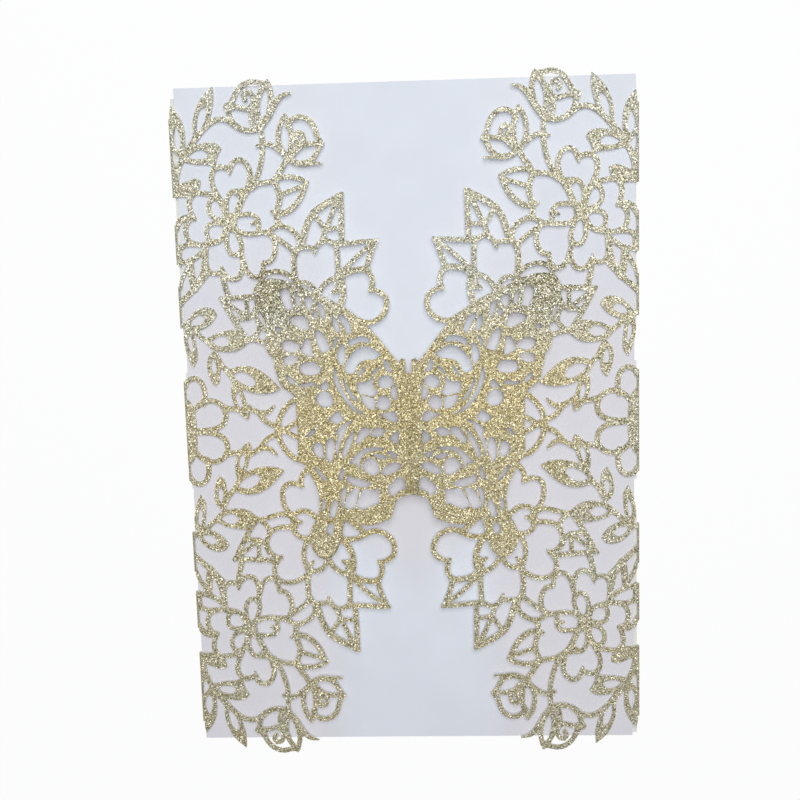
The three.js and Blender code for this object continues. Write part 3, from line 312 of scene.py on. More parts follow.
# %%
WING_HOLES = [
  # fore wing, beside the body
  [[4.1, 13], [4.8, 14.2], [6.4, 14.5], [7.9, 13.8], [8.4, 12.5], [7.8, 11.3], [6.2, 11],
    [4.8, 11.6]],
  [[5.1, 7], [5.5, 8.3], [6.8, 9], [8.2, 8.5], [8.9, 7], [8.5, 5.6], [7.2, 5.1], [5.8, 5.6]],
  [[3.4, 12.6], [4.1, 11.4], [5, 10.6], [5.1, 9.6], [4.2, 7.8], [3.4, 8.2], [3.3, 10.4]],
  [[9.4, 14.7], [10.3, 13.5], [12, 12.5], [13.9, 12.5], [14.1, 11], [13.7, 9.7], [11.8, 9.2],
    [10, 8.8], [8.5, 9.8], [9.5, 11.2], [9.9, 12.9]],
  [[9.3, 8.1], [11.2, 8.5], [13.2, 8.8], [12.7, 7], [11.3, 5.5], [9.5, 5.1]],
  [[3.3, 2], [3.6, 4], [4.8, 4.8], [6.6, 4.2], [8.3, 3.6], [6.4, 2.8], [4.8, 1.9]],
  [[4.5, 15.2], [5.1, 17], [6, 19], [6.7, 17.7], [5.9, 15.8]],
  [[7.6, 16.8], [9, 16.2], [10.2, 14.7], [8.8, 15.3]],
  [[11.7, 17], [12.9, 16], [14, 14], [12.5, 15.1]],
  # fore wing, crescents and slits
  [[7.5, 20.3], [9.2, 21.6], [11.7, 22.3], [14, 21.4], [15.8, 19.6], [17, 17.3], [17.3, 15.5],
    [16, 14.9], [14.6, 15.3], [14.1, 16.9], [12.9, 18.2], [10.8, 18.9], [8.8, 19]],
  [[10, 24], [12, 25], [14.2, 24.6], [16, 23.8], [15.8, 22.2], [14.3, 23], [12.4, 23.6],
    [10.4, 23.2]],
  [[15.4, 25.6], [15.3, 27.6], [16.3, 29.7], [18.4, 31], [18.5, 29.8], [17.1, 28], [16.5, 26]],
  [[17.2, 22.7], [18.1, 22.7], [19.1, 20.7], [19.1, 18.5], [17.9, 17], [17.1, 19]],
  [[12.2, 3.6], [14.4, 5.2], [16.4, 7.4], [18.3, 10.6], [19.4, 13.8], [20, 16.8], [20.5, 13.6],
    [19.3, 10.2], [17.2, 7], [15, 4.6]],
  [[13.9, 7.2], [15.5, 9.2], [16.9, 11.6], [17.8, 13.8], [17.7, 12], [16.6, 9.4], [15.2, 7.6]],
  [[18.2, 26.2], [18.7, 28.8], [20.2, 30.7], [20.1, 28.2], [19.1, 26]],
  [[18.8, 24.8], [20, 23.8], [20.4, 21.6], [19.6, 22.4]],
  [[21, 21.4], [21.9, 23.7], [23.3, 25.9], [24.9, 26.7], [25.1, 25], [24.5, 22.6], [23.4, 20.5],
    [22.1, 20.8]],
  [[22.2, 31.6], [22.9, 33.4], [24.3, 34.2], [23.7, 31.8], [22.6, 29.2]],
  [[24.4, 29.6], [24.4, 31.4], [25.3, 32], [25.5, 30.2]],
  # fore wing, the tip
  [[24.9, 34.3], [26.3, 35.6], [27.6, 35.2], [27.3, 33], [26.4, 31.8], [25.8, 33]],
  [[28.7, 33], [29, 35.2], [30, 36.9], [30.1, 34.8], [29.6, 33]],
  [[30.6, 32.4], [31.3, 34.6], [31.6, 37.1], [33, 37.8], [34.1, 36.6], [33.8, 34.4], [32.6, 32]],
  [[27, 29.2], [28.1, 30.4], [30, 30.4], [31.7, 29.8], [32, 28.6], [30.2, 27.7], [28.4, 26.7],
    [26.6, 26.9]],
  [[29.4, 22.6], [30.8, 23.4], [32.8, 23.8], [34.2, 23], [34.3, 21.4], [32.6, 20.5], [30.8, 20.6],
    [29.5, 21.4]],
  [[26.5, 24.2], [27.6, 24.2], [28.5, 22.8], [29.1, 20.6], [27.8, 19.9], [25.9, 19.1],
    [26.1, 21.6]],
  [[30, 19.4], [32, 19.6], [34.1, 19.1], [33.9, 17.1], [32, 17], [30.5, 18]],
  [[23.8, 16.2], [25.2, 17.7], [27.6, 17.8], [29.5, 17], [29.7, 15.4], [28.2, 14.4], [25.8, 14.4],
    [24.3, 15]],
  [[20.7, 7.2], [21.6, 9.2], [23.6, 9.9], [25.3, 8.8], [25.3, 7], [24, 5.8], [21.8, 5.8]],
  [[22.4, 12.7], [23.4, 12.1], [24.7, 10.7], [22.8, 10.2], [21.9, 11.2]],
  [[31, 12.6], [32.4, 13.8], [33.7, 14.2], [33, 12.6], [31.4, 11.4]],
  [[34.4, 25.9], [34.6, 27.2], [35.8, 27.4], [36, 26.2]],
  [[25.2, 11.6], [27, 11.2], [29, 11], [30.6, 11.9], [28.6, 11.9], [26.6, 12.4]],
  # below the middle
  [[17.9, 2.3], [19.4, 4.6], [21.2, 3.5], [22.2, 2.2], [20.2, 0.9]],
  [[15.6, 1.9], [17, 1.6], [19.2, 0.2], [20.3, -1], [19.6, -2.4], [18.6, -2], [17.4, 0.2]],
  [[3.2, -0.2], [4.6, -1.4], [5.9, -2.7], [4.6, -3.6], [3.5, -4.4], [3.2, -2.4]],
  [[6.6, -0.5], [8.2, 0.2], [10, -0.3], [11.3, -1.9], [9.6, -2.2], [8, -2.1]],
  [[10.8, -0.1], [13, 0], [14.2, -1.6], [15.2, -3.8], [14.2, -4.6], [12.9, -3], [11.6, -1.9]],
  [[15.2, -0.4], [16.6, -2], [18.1, -4.6], [19, -7.8], [18.3, -8.6], [17.3, -6.4], [16, -3.8]],
  [[17.2, 0], [18.6, -2.6], [19.8, -5.4], [20.1, -8.4], [20.6, -5.4], [19.6, -2.2]],
  [[7, -5.6], [9.6, -5.2], [12.6, -5.7], [15.2, -7.6], [17, -10], [15.6, -10], [13.8, -7.9],
    [11.6, -6.5], [9.2, -6.2]],
  [[3.6, -7.2], [4.8, -6.4], [6.4, -6.2], [5.6, -7.6], [4.4, -8.4]],
  [[6.2, -8], [8, -7.2], [10.6, -7.2], [9.2, -8.2], [8, -8.6]],
  # hind wing
  [[8.9, -10.6], [9.6, -8.9], [11.2, -8.3], [12.8, -9.1], [13.4, -10.8], [12.4, -12.2], [10.6, -13],
    [9, -12.6]],
  [[3, -9.6], [4.8, -9.4], [6.8, -10.4], [8.2, -11.6], [7.8, -13], [6, -12.6], [4, -11.6],
    [3, -10.9]],
  [[13, -7.4], [14.2, -9.4], [14, -11.8], [15.1, -10], [14.6, -8.2]],
  [[10.9, -15.4], [13, -14.6], [15.6, -14], [17.3, -13.2], [18.2, -14.6], [16, -16], [12.8, -16.5]],
  [[2.5, -13.4], [3.8, -13.5], [5.2, -14.9], [6.6, -16.2], [6.2, -18.2], [5.1, -18.7], [3.6, -17.2],
    [1.9, -16.5], [1.9, -14.8]],
  [[9, -17], [11, -17.2], [13, -17], [14.2, -18.6], [15.2, -20.8], [15.5, -22], [14.2, -22.7],
    [12, -22], [10, -21], [9.2, -21.2]],
  [[14.4, -17], [16, -17], [17.5, -18.4], [18.4, -20.6], [18.8, -22.2], [17.4, -22.8],
    [16.2, -22.2], [15.2, -19.6]],
  [[17.8, -16.4], [19.4, -17.6], [19.7, -20.2], [19.4, -22.6], [18.6, -19.6]],
  [[20.9, -4.6], [21.6, -3], [22.6, -3.4], [23.4, -5.8], [23.2, -8.8], [22.2, -10], [21.4, -8]],
  [[24.4, -4.6], [25.8, -4.2], [27, -5.6], [26.6, -7.4], [25.4, -8.4], [24.1, -8.6], [24.2, -6.4]],
  [[23.6, -14.4], [25, -12.6], [26.4, -11], [26.8, -11.6], [25.4, -13.6], [24, -15.2]],
  [[26.4, -0.4], [27.6, -1.4], [29, -2.8], [27.4, -2.4], [26, -1.2]],
  [[20.6, -20.6], [21.6, -20.2], [22.8, -22.8], [23.1, -25], [22, -25.4], [20.9, -23]],
  [[24.2, -20], [24.9, -20.2], [25.1, -23.6], [24.3, -22.8]],
  [[22.2, -27.4], [23.2, -26.8], [24, -28], [23.9, -29.8], [22.8, -30.2], [22.1, -29]],
  [[18.9, -10.6], [19.6, -12.4], [20.2, -14.8], [19.4, -14.6], [18.6, -12.8]],
]
print("openings in a wing:", len(WING_HOLES))

# %% [markdown]
# ## Curves
# A stem bends smoothly, but a leaf has a sharp tip. A curve object in the editor has handles for that.
# Here a cubic curve runs through the points by itself, and breaks where the line turns sharply.

# %%
def smooth(points, closed=False, sharp=62, step=0.35):
    """Points along a smooth curve, which breaks where it turns by more than sharp degrees."""
    p = np.array(points, float)
    n = len(p)

    def turn(i):
        if not closed and i in (0, n - 1):
            return True
        a, b, c = p[i - 1][:2], p[i][:2], p[(i + 1) % n][:2]
        u, v = b - a, c - b
        return abs(math.degrees(math.atan2(u[0] * v[1] - u[1] * v[0], u @ v))) > sharp

    corner = [turn(i) for i in range(n)]
    out = []
    for i in range(n if closed else n - 1):
        a, b = p[i], p[(i + 1) % n]
        before = 2 * a - b if corner[i] else p[i - 1]
        after = 2 * b - a if corner[(i + 1) % n] else p[(i + 2) % n]
        length = math.dist(a[:2], b[:2])
        size = max(length, 1e-6)
        into = (b - before) * size / max(math.dist(a[:2], before[:2]) + size, 1e-6)
        away = (after - a) * size / max(math.dist(after[:2], b[:2]) + size, 1e-6)
        for k in range(max(2, round(length / step))):
            t = k / max(2, round(length / step))
            h = [2 * t**3 - 3 * t**2 + 1, t**3 - 2 * t**2 + t, 3 * t**2 - 2 * t**3, t**3 - t**2]
            out.append(h[0] * a + h[1] * into + h[2] * b + h[3] * away)
    if not closed:
        out.append(p[-1])
    return np.array(out)

# %% [markdown]
# ## Flat pattern
# Booleans could join hundreds of bands, but slowly and with sharp notches. Here the pattern is a field
# of distances on a fine grid, below zero in the sheet. A smooth minimum joins two shapes with a small
# fillet, and a maximum takes an opening out. Bands are drawn a little wider than their numbers say.

# %%
STEP = 0.1
FILLET = 0.45
FAR = 1.6
WIDER = 0.17


class Pattern:
    """A flat pattern from x0 to x1 and from y0 to y1, at first without card."""

    def __init__(self, x0, x1, y0, y1):
        self.x, self.y = np.arange(x0, x1, STEP), np.arange(y0, y1, STEP)
        self.f = np.full((len(self.y), len(self.x)), FAR, np.float32)

    def window(self, low, high):
        """Rows and columns of the grid between two corners."""
        i0, i1 = np.searchsorted(self.y, (low[1], high[1]))
        j0, j1 = np.searchsorted(self.x, (low[0], high[0]))
        return slice(i0, i1), slice(j0, j1)

    def near(self, line, widths, at):
        """Least distance to the pieces of a line, less half its width, within FAR of it."""
        rows, cols = at
        d = np.full((rows.stop - rows.start, cols.stop - cols.start), FAR, np.float32)
        for a, b, wa, wb in zip(line[:-1], line[1:], widths[:-1], widths[1:]):
            reach = FAR + max(wa, wb) / 2
            sub = self.window(np.minimum(a, b) - reach, np.maximum(a, b) + reach)
            rs = slice(max(sub[0].start, rows.start), min(sub[0].stop, rows.stop))
            cs = slice(max(sub[1].start, cols.start), min(sub[1].stop, cols.stop))
            if rs.start >= rs.stop or cs.start >= cs.stop:
                continue
            px = self.x[cs][None, :] - a[0]
            py = self.y[rs][:, None] - a[1]
            u = b - a
            t = np.clip((px * u[0] + py * u[1]) / max(u @ u, 1e-9), 0, 1)
            gap = np.hypot(px - t * u[0], py - t * u[1]) - (wa + (wb - wa) * t) / 2
            part = d[rs.start - rows.start:rs.stop - rows.start,
                     cs.start - cols.start:cs.stop - cols.start]
            np.minimum(part, gap, out=part)
        return d

    def join(self, at, d, fillet=FILLET):
        """The smooth minimum of the field and a new shape."""
        f = self.f[at]
        h = np.clip(0.5 + 0.5 * (d - f) / fillet, 0, 1)
        self.f[at] = d * (1 - h) + f * h - fillet * h * (1 - h)

    def band(self, band):
        width, line = band[0], band[1:]
        p = smooth([(q[0], q[1], (q[2] if len(q) > 2 else width) + WIDER) for q in line])
        at = self.window(p[:, :2].min(0) - FAR - 1, p[:, :2].max(0) + FAR + 1)
        d = self.near(p[:, :2], p[:, 2], at)
        self.join(at, d)

    def area(self, outline):
        """Signed distance to a closed outline: below zero inside."""
        p = np.vstack([outline, outline[:1]])
        at = self.window(p.min(0) - FAR, p.max(0) + FAR)
        d = self.near(p, np.zeros(len(p)), at)
        flips = np.zeros((d.shape[0], d.shape[1] + 1), np.int32)
        ys, x0 = self.y[at[0]], self.x[at[1]][0]
        for a, b in zip(p[:-1], p[1:]):
            low, high = sorted((a[1], b[1]))
            i0, i1 = np.searchsorted(ys, (low, high))
            if i0 == i1:
                continue
            cut = a[0] + (ys[i0:i1] - a[1]) * (b[0] - a[0]) / (b[1] - a[1])
            j = np.clip(np.ceil((cut - x0) / STEP).astype(int), 0, d.shape[1])
            np.add.at(flips, (np.arange(i0, i1), j), 1)
        inside = np.cumsum(flips, 1)[:, :-1] % 2 == 1
        return at, np.where(inside, -d, d)

    def add(self, outline, fillet=FILLET):
        self.join(*self.area(outline), fillet)

    def cut(self, outline, ease=0.0):
        """Takes an opening out, wider by ease on every side."""
        at, d = self.area(outline)
        self.f[at] = np.maximum(self.f[at], ease - d)

# %% [markdown]
# ## Outline of a pattern
# Marching squares: the signs at the corners of a grid square say from which side to which the outline
# crosses it (bottom, right, top, left). Where opposite corners agree and neighbours do not, the middle
# of the square decides between two cuts and a bridge.

# %%
SIDES = {1: ["BL"], 2: ["RB"], 4: ["TR"], 8: ["LT"], 3: ["RL"], 6: ["TB"], 12: ["LR"], 9: ["BT"],
         7: ["TL"], 14: ["LB"], 13: ["BR"], 11: ["RT"]}


def loops_of(pattern):
    """Closed loops where the field passes zero, with the sheet on their left."""
    f = np.where(pattern.f == 0, np.float32(1e-6), pattern.f)
    s = f < 0
    rows, cols = f.shape
    flat, tall = s[:, :-1] != s[:, 1:], s[:-1] != s[1:]
    number_flat = np.full(flat.shape, -1)
    number_tall = np.full(tall.shape, -1)
    number_flat[flat] = np.arange(flat.sum())
    number_tall[tall] = np.arange(tall.sum()) + flat.sum()
    i, j = np.nonzero(flat)
    t = f[i, j] / (f[i, j] - f[i, j + 1])
    first = np.stack([pattern.x[j] + t * STEP, pattern.y[i]], 1)
    i, j = np.nonzero(tall)
    t = f[i, j] / (f[i, j] - f[i + 1, j])
    points = np.vstack([first, np.stack([pattern.x[j], pattern.y[i] + t * STEP], 1)])
    code = s[:-1, :-1] + 2 * s[:-1, 1:] + 4 * s[1:, 1:] + 8 * s[1:, :-1]
    edge = {"B": number_flat[:-1], "T": number_flat[1:],
            "L": number_tall[:, :-1], "R": number_tall[:, 1:]}
    middle = (f[:-1, :-1] + f[:-1, 1:] + f[1:, 1:] + f[1:, :-1]) < 0
    follow = np.full(len(points), -1)

    def link(mask, pair):
        follow[edge[pair[0]][mask]] = edge[pair[1]][mask]

    for value, pairs in SIDES.items():
        for pair in pairs:
            link(code == value, pair)
    for value, joined, apart in ((5, ("BR", "TL"), ("BL", "TR")), (10, ("LB", "RT"), ("RB", "LT"))):
        for pair in joined:
            link((code == value) & middle, pair)
        for pair in apart:
            link((code == value) & ~middle, pair)
    seen, loops = np.zeros(len(points), bool), []
    for start in range(len(points)):
        loop, v = [], start
        while not seen[v]:
            seen[v] = True
            loop.append(v)
            v = follow[v]
        if len(loop) > 8:
            loops.append(points[loop])
    return loops

# %% [markdown]
# ## Fewer points
# The traced loop has a point every tenth of a millimetre. Decimate would shift the edges of the
# finished mesh, so the loop itself keeps a point only where it has bent by a few degrees.

# %%
def eased(loop, bend=9, longest=1.6):
    """The loop with only the points that its bends need."""
    p = (np.roll(loop, 1, 0) + 2 * loop + np.roll(loop, -1, 0)) / 4
    u = p - np.roll(p, 1, 0)
    v = np.roll(p, -1, 0) - p
    turn = np.degrees(np.arctan2(u[:, 0] * v[:, 1] - u[:, 1] * v[:, 0], (u * v).sum(1)))
    size = np.hypot(*u.T)
    kept, bent, run = [0], 0.0, 0.0
    for k in range(1, len(p)):
        bent += turn[k]
        run += size[k]
        if abs(bent) > bend or run > longest:
            kept.append(k)
            bent = run = 0.0
    return p[kept] if len(kept) > 3 else p[::3]

# %% [markdown]
# ## Filling an outline
# Each loop becomes a ring of points, and a triangulation that keeps the rings fills the space. A
# triangle inside an odd number of rings is card, and one inside an even number is an opening.

# %%
SPECK = 0.12


def outlines(pattern):
    """The eased loops of a pattern, each with twice its area. Specks are left out."""
    found = []
    for loop in loops_of(pattern):
        p = eased(loop)
        twice = np.sum(p[:, 0] * np.roll(p[:, 1], -1) - np.roll(p[:, 0], -1) * p[:, 1])
        if abs(twice) > SPECK:
            found.append((p, twice))
    return found


def filled(loops):
    """Points and triangles of the card between the loops."""
    points, rings = [], []
    for p, twice in loops:
        ring = list(range(len(points), len(points) + len(p)))
        rings.append(ring if twice > 0 else ring[::-1])
        points.extend(Vector((float(x), float(y))) for x, y in p)
    found, _, tris, _, _, inside = delaunay_2d_cdt(points, [], rings, 1, 1e-5, True)
    return np.array([q[:] for q in found]), [t for t, held in zip(tris, inside) if len(held) % 2 == 1]

# %% [markdown]
# ## From outline to sheet
# The sheet has a glitter face, a pale cut edge and a white reverse. Solidify would follow the slope of
# the sheet and change the width of its lines. So the flat faces are extruded straight up, and top,
# edge and underside get their own finish.

# %%
TOP, EDGE, UNDER, FOLD = 0, 1, 2, 3


def placed(name, bm, materials):
    """The object of a finished mesh, with its materials in their order."""
    mesh = bpy.data.meshes.new(name)
    bm.to_mesh(mesh)
    print(name, len(bm.faces), "faces")
    bm.free()
    for m in materials:
        mesh.materials.append(m)
    made = bpy.data.objects.new(name, mesh)
    bpy.context.scene.collection.objects.link(made)
    return made


def sheet_from(name, pattern, lift, materials):
    """A sheet of that pattern. lift gives the height of its underside at each point."""
    points, tris = filled(outlines(pattern))
    bm = bmesh.new()
    for place in np.column_stack([points, lift(points[:, 0], points[:, 1])]) * MM:
        bm.verts.new(tuple(place))
    bm.verts.ensure_lookup_table()
    low = [bm.faces.new([bm.verts[i] for i in t]) for t in tris]
    risen = bmesh.ops.extrude_face_region(bm, geom=low)["geom"]
    corners = [g for g in risen if isinstance(g, bmesh.types.BMVert)]
    bmesh.ops.translate(bm, verts=corners, vec=(0, 0, SHEET * MM))
    for face in bm.faces:
        face.material_index = EDGE
    for face in low:
        face.material_index = UNDER
    for face in risen:
        if isinstance(face, bmesh.types.BMFace):
            face.material_index = TOP
    bmesh.ops.recalc_face_normals(bm, faces=bm.faces)
    return placed(name, bm, materials)

# %% [markdown]
# ## A helper for materials
# All finishes are procedural and read Object coordinates, in metres, so they need no image and no
# unwrapping. The helper makes a Principled shader and keeps the wiring short.

# %%
class Nodes:
    def __init__(self, name):
        self.m = bpy.data.materials.new(name)
        self.m.use_nodes = True
        self.t = self.m.node_tree
        self.t.nodes.clear()
        self.out = self.new("ShaderNodeOutputMaterial")
        self.shader = self.new("ShaderNodeBsdfPrincipled")
        self.join(self.shader.outputs["BSDF"], self.out, "Surface")
        self.place = self.new("ShaderNodeTexCoord").outputs["Object"]

    def new(self, kind, **values):
        n = self.t.nodes.new(kind)
        for k, v in values.items():
            if hasattr(n, k):
                setattr(n, k, v)
            else:
                n.inputs[k].default_value = v
        return n

    def join(self, source, node, into):
        self.t.links.new(source, node.inputs[into])

    def ramp(self, source, stops, kind="LINEAR"):
        r = self.new("ShaderNodeValToRGB")
        r.color_ramp.interpolation = kind
        while len(r.color_ramp.elements) < len(stops):
            r.color_ramp.elements.new(0.5)
        for e, (at, c) in zip(r.color_ramp.elements, stops):
            e.position = at
            e.color = (*c, 1) if isinstance(c, tuple) else (c, c, c, 1)
        self.join(source, r, "Fac")
        return r.outputs["Color"]

    def noise(self, scale, detail, rough=0.5):
        n = self.new("ShaderNodeTexNoise", Scale=scale, Detail=detail, Roughness=rough)
        self.join(self.place, n, "Vector")
        return n.outputs["Fac"]

    def mix(self, fac, a, b, blend="MIX"):
        n = self.new("ShaderNodeMix", data_type="RGBA", blend_type=blend)
        for socket, value in ((n.inputs[0], fac), (n.inputs[6], a), (n.inputs[7], b)):
            if isinstance(value, (int, float)):
                socket.default_value = value
            elif isinstance(value, tuple):
                socket.default_value = (*value, 1)
            else:
                self.t.links.new(value, socket)
        return n.outputs[2]

    def maths(self, op, a, b=0.0):
        n = self.new("ShaderNodeMath", operation=op)
        for k, value in enumerate((a, b)):
            if isinstance(value, (int, float)):
                n.inputs[k].default_value = value
            else:
                self.t.links.new(value, n.inputs[k])
        return n.outputs[0]

    def vector(self, op, a):
        n = self.new("ShaderNodeVectorMath", operation=op)
        self.join(a, n, 0)
        return n


def linear(r, g, b):
    """A colour of 0 to 255 a channel, as it looks, in Blender's linear values."""
    return tuple((c / 255 / 12.92 if c < 11 else ((c / 255 + 0.055) / 1.055) ** 2.4) for c in (r, g, b))

# %% [markdown]
# ## Tints of the glitter, with painted reflection and glints
# Glitter card is a lacquer full of flakes of a quarter of a millimetre. A texture of cells gives each
# flake a random colour, whose red picks a tint from a ramp. Which ramp shows where is painted light: a
# painted warm reflection, gold, at the clasp, a painted cool reflection, silvery, around it and towards
# the top, and painted glints and shade, dark with bright sparks, at the tips of the wings.

# %%
GOLD_TINTS = [
    (0.0, linear(112, 98, 58)), (0.16, linear(156, 140, 92)), (0.42, linear(195, 181, 132)),
    (0.68, linear(214, 202, 160)), (0.88, linear(232, 223, 191)), (0.97, linear(250, 245, 224)),
]
SILVER_TINTS = [
    (0.0, linear(98, 94, 74)), (0.18, linear(150, 146, 122)), (0.42, linear(188, 183, 160)),
    (0.66, linear(210, 206, 186)), (0.84, linear(236, 233, 217)), (0.94, linear(254, 254, 248)),
]
TIP_GLINT_TINTS = [
    (0.0, linear(62, 56, 34)), (0.25, linear(116, 108, 74)), (0.5, linear(158, 150, 112)),
    (0.7, linear(186, 179, 146)), (0.82, linear(246, 243, 224)), (0.92, linear(255, 255, 252)),
]
WARM_CLOUDS = [(0.36, linear(255, 247, 220)), (0.64, linear(247, 247, 245))]


def painted_reflection_tint(k, pick, gold, silver):
    """Painted reflection by place: gold at the clasp, silver around it and towards the top, and painted
    glints and shade, dark with sparks, at the tips of the wings.
    """
    tip_glints = k.ramp(pick.outputs["Red"], TIP_GLINT_TINTS)
    place = k.new("ShaderNodeSeparateXYZ")
    k.join(k.place, place, 0)
    aside = k.maths("ABSOLUTE", place.outputs["X"])
    wave = k.maths("MULTIPLY", k.noise(30, 2), 0.02)

    def away(x, y, squeeze):
        across = k.maths("MULTIPLY", k.maths("SUBTRACT", aside, x), squeeze)
        along = k.maths("SUBTRACT", place.outputs["Y"], y)
        both = k.maths("ADD", k.maths("MULTIPLY", across, across), k.maths("MULTIPLY", along, along))
        return k.maths("ADD", k.maths("SQRT", both), wave)

    # Painted cool reflection: silver away from the clasp and towards the top of the card.
    outer = k.ramp(away(0, -0.004, 0.75), [(0.034, 0.0), (0.06, 0.62)], "EASE")
    upper = k.ramp(place.outputs["Y"], [(0.012, 0.0), (0.05, 0.38)], "EASE")
    # Painted glints and painted shade at the tips of the wings.
    tip_glint_mask = k.ramp(away(0.037, 0.036, 1), [(0.013, 0.85), (0.025, 0.0)], "EASE")
    return k.mix(tip_glint_mask, k.mix(k.maths("ADD", outer, upper), gold, silver), tip_glints)

# %% [markdown]
# ## Glitter
# The sparkle comes from the slant of the flakes. Each one is flat and catches the light as a whole,
# which a bump map would not give. So the normal is turned once for each flake, by the green and blue
# of its colour. On the fold the flakes lean less.

# %%
def glitter(name, lean_by, front=True):
    k = Nodes(name)
    flake = k.new("ShaderNodeTexVoronoi", Scale=4200)
    k.join(k.place, flake, "Vector")
    pick = k.new("ShaderNodeSeparateColor")
    k.join(flake.outputs["Color"], pick, "Color")
    gold = k.ramp(pick.outputs["Red"], GOLD_TINTS)
    silver = k.ramp(pick.outputs["Red"], SILVER_TINTS)
    # The front gets the painted reflection and glints by place, and the back gets one even tint.
    tint = painted_reflection_tint(k, pick, gold, silver) if front else k.mix(0.4, gold, silver)
    warm = k.ramp(k.noise(26, 2), WARM_CLOUDS)
    k.join(k.mix(0.5, tint, warm, "MULTIPLY"), k.shader, "Base Color")

    spun = k.new("ShaderNodeCombineXYZ", Z=0.5)
    k.join(pick.outputs["Green"], spun, "X")
    k.join(pick.outputs["Blue"], spun, "Y")
    slant = k.vector("SUBTRACT", spun.outputs[0])
    slant.inputs[1].default_value = (0.5, 0.5, 0.5)
    lean = k.vector("SCALE", slant.outputs[0])
    lean.inputs["Scale"].default_value = lean_by
    total = k.vector("ADD", k.new("ShaderNodeNewGeometry").outputs["Normal"])
    k.join(lean.outputs[0], total, 1)
    k.join(k.vector("NORMALIZE", total.outputs[0]).outputs[0], k.shader, "Normal")
    k.shader.inputs["Metallic"].default_value = 0.4
    k.shader.inputs["Roughness"].default_value = 0.38
    return k.m

# %% [markdown]
# ## Plain card
# Uncoated card is matt, faintly cloudy and covered by a fine felt of fibres, for which a small bump is
# enough. Under the gold lace it gets a painted reflection of the gold, slightly warmer and darker, and
# under the clasp painted shade.

# %%
def painted_bounce_and_shade(k, plain, warm):
    """Painted reflection of the gold and painted shade: the warm, darker colour beside the middle strip
    and under the clasp, the plain one elsewhere.
    """
    place = k.new("ShaderNodeSeparateXYZ")
    k.join(k.place, place, 0)
    across = k.maths("ABSOLUTE", place.outputs["X"])
    # Painted warm reflection of the gold lace beside the middle strip, fading towards the top of the
    # card.
    aside = k.ramp(across, [(0.014, 0.0), (0.03, 1.0)], "EASE")
    low = k.ramp(k.maths("ADD", place.outputs["Y"], 0.1), [(0.12, 1.0), (0.165, 0.15)], "EASE")
    beside = k.maths("ABSOLUTE", k.maths("ADD", place.outputs["Y"], 0.013))
    reach = k.maths("ADD", across, k.maths("MULTIPLY", beside, 1.3))
    # Painted shade and warm reflection under the clasp, centred a little below its middle.
    painted_clasp_shade = k.ramp(reach, [(0.03, 0.95), (0.05, 0.0)], "EASE")
    return k.mix(k.maths("MAXIMUM", k.maths("MULTIPLY", aside, low), painted_clasp_shade), plain, warm)


def paper(name, colour, grain=0.12, warm=None):
    k = Nodes(name)
    c = Vector(colour)
    plain = k.ramp(k.noise(60, 4), [(0.3, tuple(c * 0.965)), (0.7, tuple(c * 1.015))])
    k.join(painted_bounce_and_shade(k, plain, warm) if warm else plain, k.shader, "Base Color")
    bump = k.new("ShaderNodeBump", Strength=grain, Distance=0.00008)
    k.join(k.noise(5200, 3, 0.65), bump, "Height")
    k.join(bump.outputs["Normal"], k.shader, "Normal")
    k.shader.inputs["Roughness"].default_value = 0.82
    k.shader.inputs["Specular IOR Level"].default_value = 0.3
    return k.m

# %% [markdown]
# ## The finishes of this card
# The glitter sheet has three of its own: glitter outside, a cream core that shows at every cut, and a
# white reverse. The back has the same glitter in one even tint.

# %%
GLITTER = glitter("glitter", 0.75)
GLITTER_SIDE = glitter("glitter_on_the_fold", 0.15)
GLITTER_BACK = glitter("glitter_on_the_back", 0.75, front=False)
CORE = paper("cut_edge", linear(234, 225, 196), 0.2)
REVERSE = paper("white_reverse", linear(236, 234, 228))
# The warm colour is the painted reflection of the gold and the painted shade under the clasp.
CARD = paper("plain_card", linear(231, 235, 243), warm=linear(228, 226, 231))
SHEET_PARTS = [GLITTER, CORE, REVERSE]
print("finishes", [m.name for m in (*SHEET_PARTS, GLITTER_SIDE, GLITTER_BACK, CARD)])

# %% [markdown]
# ## Where the wings lie
# Each flap carries a whole butterfly, with one wing over its own lace and one over the other flap's.
# So on each side two wings lie one above the other. The upper one is turned a little, and the lower
# one is shifted so that their openings line up from the front.

# %%
def turned(points, turn):
    p = np.array(points, float)
    return np.column_stack([p[:, 0], p[:, 1] + np.maximum(p[:, 0] - BODY_HALF, 0) * turn])


def lower(points):
    """From a wing on top to the one underneath, along the lines of sight of an eye EYE above it."""
    x, y = np.array(points, float).T
    gap = WING_GAP - WING_CLOSING * np.maximum(x - CROSS_X, 0)
    return np.column_stack([x + x * gap / EYE, y + (y - EYE_Y) * gap / EYE])


def lift(x, y):
    """Height of the flap's underside: a slope to the body, a step through it, a slope down the wing."""
    base = FLAP_Z + FLAP_RISE * (FOLD_X - CROSS_X)
    return np.where(
        x > CROSS_X, FLAP_Z + FLAP_RISE * (FOLD_X - x),
        np.where(x > -CROSS_X, base + CROSS_RISE * (CROSS_X - x) / (2 * CROSS_X),
                 base + CROSS_RISE + WING_DROP * (x + CROSS_X)))

# %% [markdown]
# ## Pattern of a flap
# The quarter of lace is drawn twice, up and down, and the leaves get their openings last, so that no
# band closes them. Then come the two wings with their openings, the body, its slit and notch, and the
# straight cut where the fold begins.

# %%
def block(x0, x1, y0, y1):
    return np.array([[x0, y0], [x1, y0], [x1, y1], [x0, y1]], float)


def lace(g):
    for flip in (1, -1):
        for band in BANDS:
            g.band([band[0]] + [[q[0], q[1] * flip] + list(q[2:]) for q in band[1:]])
        for leaf, *_ in BLADES:
            g.add(smooth([[x, y * flip] for x, y in leaf], True))
    for _, *openings in BLADES:
        for flip in (1, -1):
            for opening in openings:
                g.cut(smooth([[x, y * flip] for x, y in opening], True))


